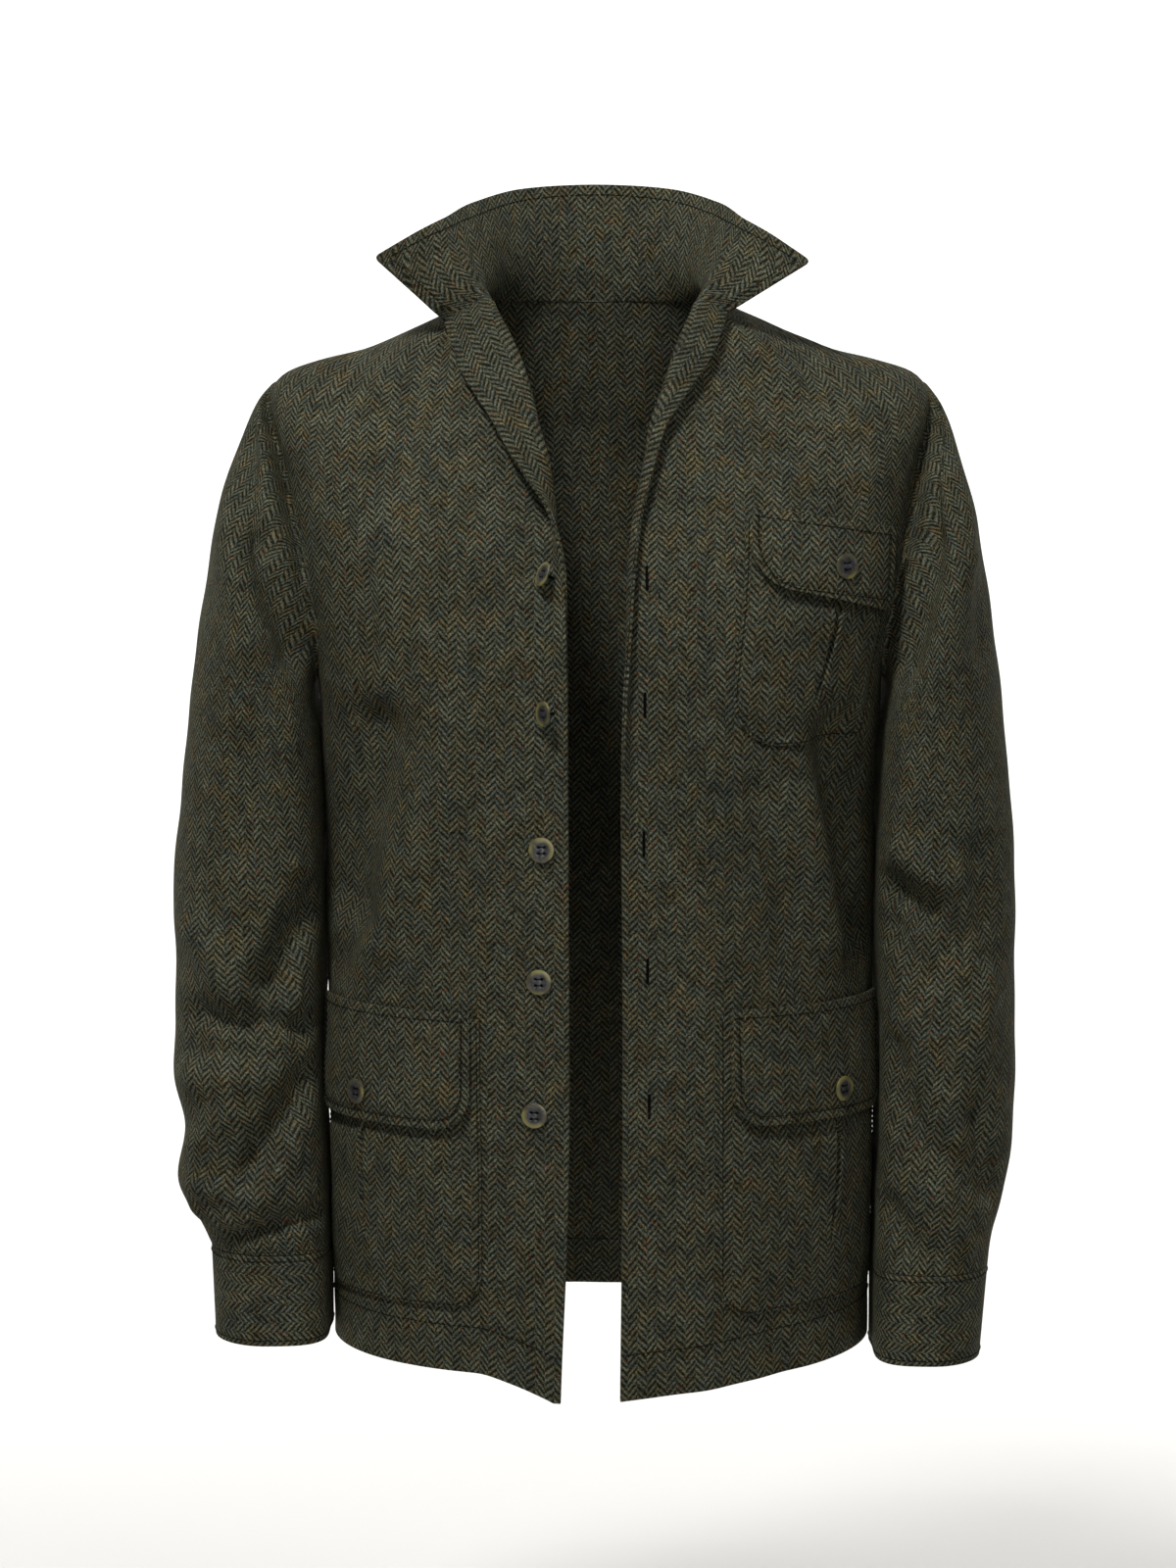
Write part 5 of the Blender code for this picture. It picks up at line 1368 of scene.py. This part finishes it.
# ================================================================ pockets
@dataclass
class Pocket:
    """A patch pocket with an open pleat, and the flap over it."""

    cut: PocketCut
    front: Front
    figure: Figure
    pleat_depth: float = 0.0085
    pleat_width: float = 0.0024
    pleat_bow: float = 0.0020        # how far the pleat bows sideways
    pleat_dense: float = 0.006       # columns are close together this far beside the pleat
    pleat_lip: float = 0.0032        # how far the pleat's folds stand up beside it
    lip_width: float = 0.009
    floor_gap: float = 0.0007        # the pleat's floor stays clear of the front
    puff: float = 0.0032             # how far a bag stands proud of the front
    flare: float = 0.0042            # how far the flap's free edge stands off
    bag_sewn_in: float = 0.002
    sewn_in: float = 0.006
    stitch_start: float = 0.004      # stitches start this far below the top
    pressed: float = 0.0011          # how deep a stitch line is pressed in
    pressed_width: float = 0.0014
    rim_dense: float = 0.012         # columns are close together this far from the flap's sides
    bag_share: float = 0.99          # rounded corners taken off the cut
    flap_share: float = 0.97

    def __post_init__(self) -> None:
        """Works out how the pocket's width runs round the body at several heights."""
        near = self.figure.turn_at(self.cut.side, self.cut.near_x, self.cut.top_z)
        self.heights = np.linspace(self.cut.top_z + 0.01, self.cut.top_z - self.cut.height - 0.04, 14)
        self.turns = np.arange(near, near + 78.0, 1.0)
        self.runs = []
        for z in self.heights:
            phi = self.cut.side * self.turns
            points = self.figure.point(phi, self.figure.level_at(phi, z))
            run = np.linalg.norm(np.diff(points, axis=0), axis=-1)
            self.runs.append(np.concatenate([[0.0], np.cumsum(run)]))
        self.flap_width = self.cut.width - 2.0 * self.cut.inset
        self.bag_face = LAID + POCKET_CLOTH
        self.flap_face = self.bag_face + FLAP_LIFT + FLAP_CLOTH

    def laid(self, across: np.ndarray, below: np.ndarray) -> tuple[np.ndarray, np.ndarray]:
        """Points and outward directions of the front under the pocket.

        Args:
            across: distances from the pocket's near edge.
            below: distances below its top.

        Returns:
            Points and directions.
        """
        z = self.cut.top_z - below
        found = np.stack([np.interp(across, run, self.turns) for run in self.runs])
        index = (self.heights[0] - z) / (self.heights[0] - self.heights[1])
        index = np.clip(index, 0.0, len(self.heights) - 1.001)
        base = index.astype(int)
        share = index - base
        low, high = (np.take_along_axis(found, (base + k)[None], axis=0)[0] for k in (0, 1))
        phi = low * (1 - share) + high * share
        return self.front.place(phi, self.figure.level_at(self.cut.side * phi, z))

    def edges(self, up: np.ndarray, width: float, trim: float = 0.0) -> tuple[np.ndarray, np.ndarray]:
        """Near and far edges of a piece with rounded corners, at heights over its foot."""
        found = []
        for corner in (self.cut.near_corner, self.cut.far_corner):
            corner = max(corner - trim, 0.001)
            low = np.maximum(corner - up, 0.0)
            found.append(trim + corner - np.sqrt(np.maximum(corner ** 2 - low ** 2, 0.0)))
        return found[0], width - found[1]

    def sheet(self, width: float, height: float, columns: np.ndarray, rows: np.ndarray, set_in: float,
              below: Callable[[np.ndarray, np.ndarray], np.ndarray]) -> Cloth:
        """The surface of the front under a piece, in the piece's own rows and columns.

        Args:
            width: the piece's width.
            height: its height.
            columns: shares of the width, in one row or in all.
            rows: shares of the height.
            set_in: how far its near edge is from the pocket's.
            below: depth below the pocket's top, from shares of the width and distances down.

        Returns:
            The surface.
        """
        down = rows[:, None] * height
        near, far = self.edges(height - down, width)
        share = columns + 0.0 * down
        across = set_in + near + (far - near) * share
        depth = below(share, down + 0.0 * across)
        points, outward = self.laid(across, depth)
        weave = np.stack([(self.cut.near_x + across) * self.cut.side, self.cut.top_z - depth], axis=-1)
        return Cloth(points, outward, weave)

    def rows(self, height: float, count: int) -> np.ndarray:
        """Shares of a height, closer together in the rounded corners."""
        corner = max(self.cut.near_corner, self.cut.far_corner)
        straight = (height - corner) / height * np.linspace(0.0, 1.0, count, endpoint=False)
        turns = np.radians(np.linspace(0.0, 88.0, 18))
        return np.concatenate([straight, 1.0 - corner / height * (1.0 - np.sin(turns))])

    def bag(self) -> tuple[Cloth, np.ndarray]:
        """The bag's surface, and how far its outer face rises beyond the cloth."""
        cut = self.cut
        half = self.pleat_dense / cut.width
        columns = np.concatenate([np.linspace(0.0, cut.middle - half, 30, endpoint=False),
                                  cut.middle + half * np.linspace(-1.0, 1.0, 25),
                                  np.linspace(cut.middle + half, 1.0, 22)[1:]])
        rows = self.rows(cut.height, 44)

        def below(share: np.ndarray, down: np.ndarray) -> np.ndarray:
            """Depth of a place of the bag below the pocket's top."""
            return BAG_SET_DOWN + down + cut.slant * share * (1.0 - down / cut.height)

        # the pleat leans and bows, and the columns beside it follow
        down = rows[:, None] * cut.height
        under = down - cut.flap
        length = PLEAT_END * cut.height - cut.flap
        along_pleat = np.clip(under / length, 0.0, 1.0)
        line = self.pleat_bow * np.sin(math.pi * along_pleat) - cut.lean * along_pleat
        beside = np.minimum(columns / cut.middle, (1.0 - columns) / (1.0 - cut.middle))
        columns = columns + line / cut.width * np.minimum(1.0, 1.15 * beside)
        cloth = self.sheet(cut.width, cut.height, columns, rows, 0.0, below)
        # it opens under the flap and closes towards its end
        off = (columns - cut.middle) * cut.width - line
        shown = smooth((under + 0.020) / 0.012) * smooth((1.0 - along_pleat) * 5.0)
        wide = self.pleat_width * (1.0 - 0.55 * along_pleat)
        free = smooth((under + 0.003) / 0.014) * smooth((1.0 - rows)[:, None] * 6.0)
        sides = smooth(np.minimum(columns, 1.0 - columns) * 9.0)
        lips = self.pleat_lip * free * (1.0 - along_pleat) * np.exp(-((off / self.lip_width) ** 2))
        rise = self.puff * free * sides + lips
        deep = np.minimum(self.pleat_depth, self.floor_gap + rise)
        rise = rise - deep * shown * np.exp(-((off / wide) ** 4))
        # the weave runs on over the pleat's walls
        steps = np.diff(columns, axis=1) * cut.width
        walls = np.hypot(np.diff(rise, axis=1), steps) - steps
        cloth.weave[:, 1:, 0] += np.cumsum(walls, axis=1) * cut.side
        return cloth, rise

    def flap(self) -> Cloth:
        """The flap's outer face, pressed in along its stitches."""
        cut, width = self.cut, self.flap_width
        rows = self.rows(cut.flap, 22)
        dense = self.rim_dense / width
        rim = np.linspace(0.0, self.rim_dense, 17) / width
        columns = np.concatenate([rim, np.linspace(dense, 1.0 - dense, 40)[1:-1], 1.0 - rim[::-1]])
        flap = self.sheet(width, cut.flap, columns, rows, cut.inset,
                          lambda share, down: down + cut.slant * share)
        down, across = rows[:, None] * cut.flap, columns[None, :] * width
        inside = np.minimum(np.minimum(across, width - across), cut.flap - down)
        stand = self.flap_face + self.stand_off(rows)[:, None] \
            - self.pressed * np.exp(-(((inside - self.sewn_in) / self.pressed_width) ** 2))
        flap.points = flap.points + flap.outward * stand[..., None]
        return flap

    def build(self, wardrobe: Wardrobe) -> None:
        """Makes the bag, the flap and their stitching."""
        cut = self.cut
        cloth, rise = self.bag()
        cloth.points = cloth.points + cloth.outward * (self.bag_face + rise)[..., None]
        bag = cloth.shell("tweed_pocket_" + cut.name, 0.0, POCKET_CLOTH, wardrobe.tweed)
        settle(bag, Slot.TWEED, "pocket_" + cut.name)
        flap = self.flap().shell("tweed_flap_" + cut.name, 0.0, FLAP_CLOTH, wardrobe.tweed)
        settle(flap, Slot.TWEED, "flap_" + cut.name)
        sewn = self.stitch(wardrobe)

    def stand_off(self, share: np.ndarray) -> np.ndarray:
        """How far the flap stands off at shares of its height."""
        return self.flare * smooth(share)

    def stitch(self, wardrobe: Wardrobe) -> bpy.types.Object:
        """Stitching round the bag and the flap, and the line that sews the flap on."""
        cut = self.cut
        corner = max(cut.near_corner, cut.far_corner)
        lines = []
        for wide, high, trim, set_in, down0, lift, slanted in (
                (cut.width, cut.height, self.bag_sewn_in, 0.0, BAG_SET_DOWN, self.bag_face, False),
                (self.flap_width, cut.flap, self.sewn_in, cut.inset, 0.0, self.flap_face, True)):
            straight = np.linspace(self.stitch_start, high - corner, 30, endpoint=False)
            bends = high - corner + (corner - trim) * np.sin(np.radians(np.linspace(0.0, 89.0, 24)))
            down = np.concatenate([straight, bends])
            near, far = self.edges(high - trim - down, wide, trim)
            across = np.concatenate([near, np.linspace(near[-1], far[-1], 30), far[::-1]])
            downs = np.concatenate([down, np.full(30, high - trim), down[::-1]])
            slant = cut.slant * across / wide * (1.0 if slanted else (1.0 - downs / high))
            points, outward = self.laid(set_in + across, down0 + downs + slant)
            off = self.stand_off(downs / high) if slanted else 0.0 * downs
            lines.append((points + outward * (lift + off)[..., None], outward))
        across = np.linspace(0.003, self.flap_width - 0.003, 60)
        points, outward = self.laid(cut.inset + across, self.sewn_in + cut.slant * across / self.flap_width)
        stand = self.flap_face + self.stand_off(np.array(self.sewn_in / cut.flap))
        lines.append((points + outward * stand, outward))
        return Stitching().sew("stitching_pocket_" + cut.name, lines, wardrobe.thread)

    def button_seat(self) -> tuple[np.ndarray, np.ndarray]:
        """Point on the flap and outward direction of its button."""
        cut = self.cut
        below = cut.button * cut.flap + cut.middle * cut.slant
        (point,), (outward,) = self.laid(np.array([cut.middle * cut.width]), np.array([below]))
        return point + outward * (self.flap_face + float(self.stand_off(np.array(cut.button)))), outward


# ================================================================ buttons and buttonholes
@dataclass
class Buttons:
    """Horn buttons with four holes, sewn on with crossed thread."""

    radius: float = BUTTON_RADIUS
    rim: float = BUTTON_RIM
    rim_width: float = 0.0024
    dish: float = 0.0012
    dish_slope: float = 0.0010
    worn: float = 0.0006             # how round the edges are
    hole: float = 0.0011
    spread: float = 0.0022
    cord: float = 0.00034            # radius of the thread over the face
    shank: float = 0.0011            # radius of the thread under the button
    cord_rise: float = 0.0003
    cord_sides: int = 8

    def __post_init__(self) -> None:
        """Models the button once, its back at the origin."""
        bpy.ops.object.select_all(action="DESELECT")
        bpy.ops.mesh.primitive_cylinder_add(vertices=56, radius=self.radius, depth=self.rim,
                                            location=(0.0, 0.0, 0.5 * self.rim))
        disc = bpy.context.active_object
        bpy.ops.object.transform_apply(location=True)
        for face in disc.data.polygons:
            face.select = face.normal.z > 0.9
        bpy.ops.object.mode_set(mode="EDIT")
        bpy.ops.mesh.select_mode(type="FACE")
        bpy.ops.mesh.inset(thickness=self.rim_width, depth=0.0)
        bpy.ops.mesh.inset(thickness=self.dish_slope, depth=-self.dish)
        bpy.ops.object.mode_set(mode="OBJECT")
        cutters = []
        for x, y in ((1, 1), (-1, 1), (-1, -1), (1, -1)):
            bpy.ops.mesh.primitive_cylinder_add(vertices=20, radius=self.hole, depth=4.0 * self.rim,
                                                location=(x * self.spread, y * self.spread, 0.0))
            cutters.append(bpy.context.active_object)
            cut = disc.modifiers.new("hole", "BOOLEAN")
            cut.object, cut.operation, cut.solver = cutters[-1], "DIFFERENCE", "EXACT"
        edge = disc.modifiers.new("worn edge", "BEVEL")
        edge.width, edge.segments, edge.angle_limit = self.worn, 3, math.radians(35.0)
        bpy.ops.object.select_all(action="DESELECT")
        bpy.context.view_layer.objects.active = disc
        disc.select_set(True)
        for modifier in list(disc.modifiers):
            bpy.ops.object.modifier_apply(modifier=modifier.name)
        for cutter in cutters:
            bpy.data.objects.remove(cutter, do_unlink=True)
        self.mesh = disc.data
        layer = self.mesh.uv_layers.get("face") or self.mesh.uv_layers.new(name="face")
        where = np.array([self.mesh.vertices[loop.vertex_index].co[:2] for loop in self.mesh.loops])
        layer.data.foreach_set("uv", where.ravel().astype(np.float32))
        self.mesh.shade_smooth()
        self.mesh.set_sharp_from_angle(angle=math.radians(40.0))
        bpy.data.objects.remove(disc, do_unlink=True)

    def add(self, node: str, back: np.ndarray, outward: np.ndarray, lift: float, wardrobe: Wardrobe) -> None:
        """One button with its thread.

        Args:
            node: the CAD node that it stands for.
            back: the middle of its back.
            outward: the direction that its face has.
            lift: how far its back is off the cloth.
            wardrobe: the materials.
        """
        out = Vector(outward).normalized()
        beside = Vector((0.0, 0.0, 1.0)).cross(out).normalized()
        turn = Matrix((beside, out.cross(beside), out)).transposed().to_4x4()
        place = Matrix.Translation(Vector(back)) @ turn
        mesh = self.mesh.copy()
        mesh.transform(place)
        mesh.materials.append(wardrobe.horn)
        button = bpy.data.objects.new("horn_" + node, mesh)
        bpy.context.scene.collection.objects.link(button)
        settle(button, Slot.HORN, node)
        share = np.linspace(-1.0, 1.0, 9)
        height = self.rim - self.dish + self.cord_rise * (1.0 - 2.0 * share ** 4)
        cords = [(np.stack([share * self.spread, np.full(9, y), height], axis=1), self.cord)
                 for y in (-self.spread, self.spread)]
        down = np.linspace(0.0002, -lift, 5)
        cords.append((np.stack([0.0 * down, 0.0 * down, down], axis=1), self.shank))
        thread = self.tie("thread_" + node, cords, wardrobe.thread_and_slit_shade)
        thread.data.transform(place)
        settle(thread, Slot.TWEED)

    def tie(self, name: str, cords: Sequence[tuple[np.ndarray, float]],
            material: bpy.types.Material) -> bpy.types.Object:
        """Thread through the holes and down to the cloth, from each length's points and radius."""
        verts, faces = [], []
        for line, radius in cords:
            ahead = unit(np.gradient(line, axis=0))
            side = unit(np.cross(ahead, (0.0, 1.0, 0.1)))
            other = np.cross(ahead, side)
            faces += tube_faces(len(verts), len(line), self.cord_sides)
            for k in range(len(line)):
                for n in range(self.cord_sides):
                    a = 2.0 * math.pi * n / self.cord_sides
                    verts.append(line[k] + (side[k] * math.cos(a) + other[k] * math.sin(a)) * radius)
        return add_piece(name, verts, faces, material)


@dataclass
class Buttonholes:
    """Upright slits down the left front, bound with thread painted near-black as the shade in the open slit.
    """

    front: Front
    figure: Figure
    slit: float = SLIT
    wide: float = 0.0005
    bound: float = 0.0006
    loops: int = 72
    sides: int = 8

    def build(self, wardrobe: Wardrobe) -> None:
        """Makes every buttonhole as one piece."""
        verts, faces = [], []
        for x, z in BUTTONHOLES:
            phi = self.figure.turn_at(1, x, z)
            level = self.figure.level_at(phi, z)
            (point,), (outward,) = self.front.place(np.array([phi]), np.array([float(level)]))
            up = unit(np.array((0.0, 0.0, 1.0)) - outward * outward[2])
            faces += tube_faces(len(verts), self.loops, self.sides, closed=True)
            verts += self.binding(point, outward, up)
        settle(add_piece("buttonholes", verts, faces, wardrobe.thread_and_slit_shade), Slot.TWEED)

    def binding(self, point: np.ndarray, outward: np.ndarray, up: np.ndarray) -> list[np.ndarray]:
        """Points of one slit's binding, with a rib for each loop of its thread."""
        beside = np.cross(up, outward)
        straight = 0.5 * self.slit - self.wide
        found = []
        for k in range(self.loops):
            a = 2.0 * math.pi * k / self.loops
            c, s = math.cos(a), math.sin(a)
            upward = s * self.wide + math.copysign(straight, s) * min(1.0, 3.0 * abs(s))
            centre = point + beside * (c * self.wide) + up * upward
            ring_out = beside * c + up * s
            size = self.bound * (1.0 + 0.15 * math.sin(k * 2.6))
            for n in range(self.sides):
                b = 2.0 * math.pi * n / self.sides
                found.append(centre + (ring_out * math.cos(b) + outward * math.sin(b) * 0.7) * size)
        return found


# ================================================================ studio
class Lamp(NamedTuple):
    """A soft square light and what it is aimed at."""

    name: str
    place: tuple[float, float, float]
    size: float
    power: float
    aim: tuple[float, float, float]


JACKET_MIDDLE = (-0.0056, -0.11, -0.339)
LAMPS = (
    Lamp("key", (-0.8, -1.8, 2.4), 0.5, 91.0, JACKET_MIDDLE),
    Lamp("second key", (1.5, -1.8, 1.6), 0.6, 9.0, JACKET_MIDDLE),
    Lamp("fill", (0.0, -3.2, -0.2), 1.0, 11.0, JACKET_MIDDLE),
    Lamp("top", (0.0, -0.3, 2.4), 1.0, 3.0, JACKET_MIDDLE),
    Lamp("backdrop left", (-2.6, 0.9, 1.7), 1.5, 190.0, (-1.69, 3.5, 0.9)),
    Lamp("backdrop right", (2.6, 0.9, 1.7), 1.5, 190.0, (1.69, 3.5, 0.9)),
)


@dataclass
class Studio:
    """Pale floor and backdrop, soft lights and the camera."""

    target: tuple[float, float, float] = JACKET_MIDDLE
    distance: float = 3.5
    elevation: float = 8.0
    lens: float = 75.0
    sensor: float = 24.0
    floor_z: float = -1.15
    half_width: float = 9.0
    bend_start: float = 2.0          # where the floor curves up, behind the jacket
    bend: float = 1.5
    wall_height: float = 7.0
    sky: float = 0.09

    def build(self, wardrobe: Wardrobe) -> None:
        """Makes the whole studio."""
        self.backdrop(wardrobe)
        self.lights()
        self.camera()

    def backdrop(self, wardrobe: Wardrobe) -> None:
        """A floor that curves up behind into a wall."""
        profile = [(-self.half_width, 0.0), (self.bend_start, 0.0)]
        for degrees in range(10, 91, 10):
            a = math.radians(degrees)
            profile.append((self.bend_start + self.bend * math.sin(a), self.bend * (1.0 - math.cos(a))))
        profile.append((self.bend_start + self.bend, self.wall_height))
        count = len(profile)
        verts = [(x, y, self.floor_z + z) for x in (-self.half_width, self.half_width) for y, z in profile]
        faces = [(k, k + 1, count + k + 1, count + k) for k in range(count - 1)]
        add_piece("backdrop", verts, faces, wardrobe.paper)

    def lights(self) -> None:
        """Soft boxes on the left, on the right, in front and above, and an even sky."""
        for lamp in LAMPS:
            light = bpy.data.lights.new(lamp.name, "AREA")
            light.size, light.energy = lamp.size, lamp.power
            placed = bpy.data.objects.new(lamp.name, light)
            placed.location = lamp.place
            aim = Vector(lamp.aim) - Vector(lamp.place)
            placed.rotation_euler = aim.to_track_quat("-Z", "Y").to_euler()
            bpy.context.scene.collection.objects.link(placed)
        world = bpy.data.worlds.new("studio")
        world.use_nodes = True
        sky = world.node_tree.nodes["Background"]
        sky.inputs[0].default_value, sky.inputs[1].default_value = srgb("ffffff"), self.sky
        bpy.context.scene.world = world

    def camera(self) -> None:
        """The camera at the photo's angle."""
        data = bpy.data.cameras.new("camera")
        data.lens, data.sensor_fit, data.sensor_height = self.lens, "VERTICAL", self.sensor
        data.clip_end = 100.0
        camera = bpy.data.objects.new("camera", data)
        tilt = math.radians(self.elevation)
        away = Vector((0.0, -math.cos(tilt), math.sin(tilt))) * self.distance
        camera.location = Vector(self.target) + away
        camera.rotation_euler = (-away).to_track_quat("-Z", "Y").to_euler()
        bpy.context.scene.collection.objects.link(camera)
        bpy.context.scene.camera = camera
        bpy.context.scene.view_settings.view_transform = "Standard"


def main() -> None:
    """Builds every piece of the jacket, then the studio."""
    logging.basicConfig(level=logging.INFO, format="%(name)s %(message)s")
    wardrobe, figure = Wardrobe(), Figure()
    fronts = {side: Front(figure, side) for side in (-1, 1)}
    panel = Back(figure)
    panel.build(wardrobe)
    for front in fronts.values():
        front.build(wardrobe)
    Collar(fronts[-1].cloth, panel.cloth, fronts[1].cloth).build(wardrobe)
    for side in (-1, 1):
        Sleeve(figure, side).build(wardrobe)
    buttons = Buttons()
    for number, seat in enumerate(FRONT_BUTTONS, start=1):
        phi = figure.turn_at(-1, -seat.x, seat.z)
        level = float(figure.level_at(-phi, seat.z))
        (point,), (outward,) = fronts[-1].place(np.array([phi]), np.array([level]))
        face = Matrix.Rotation(math.radians(-seat.turn), 3, "Z") @ Vector(outward)
        back = point + outward * seat.lift
        buttons.add(f"button_front_{number}", back, np.array(face), seat.lift, wardrobe)
    for cut in POCKETS:
        pocket = Pocket(cut, fronts[cut.side], figure)
        pocket.build(wardrobe)
        seat, outward = pocket.button_seat()
        buttons.add("button_flap_" + cut.name, seat + outward * BUTTON_LIFT, outward, BUTTON_LIFT, wardrobe)
    Buttonholes(fronts[1], figure).build(wardrobe)
    Studio().build(wardrobe)


if __name__ == "__main__":
    main()
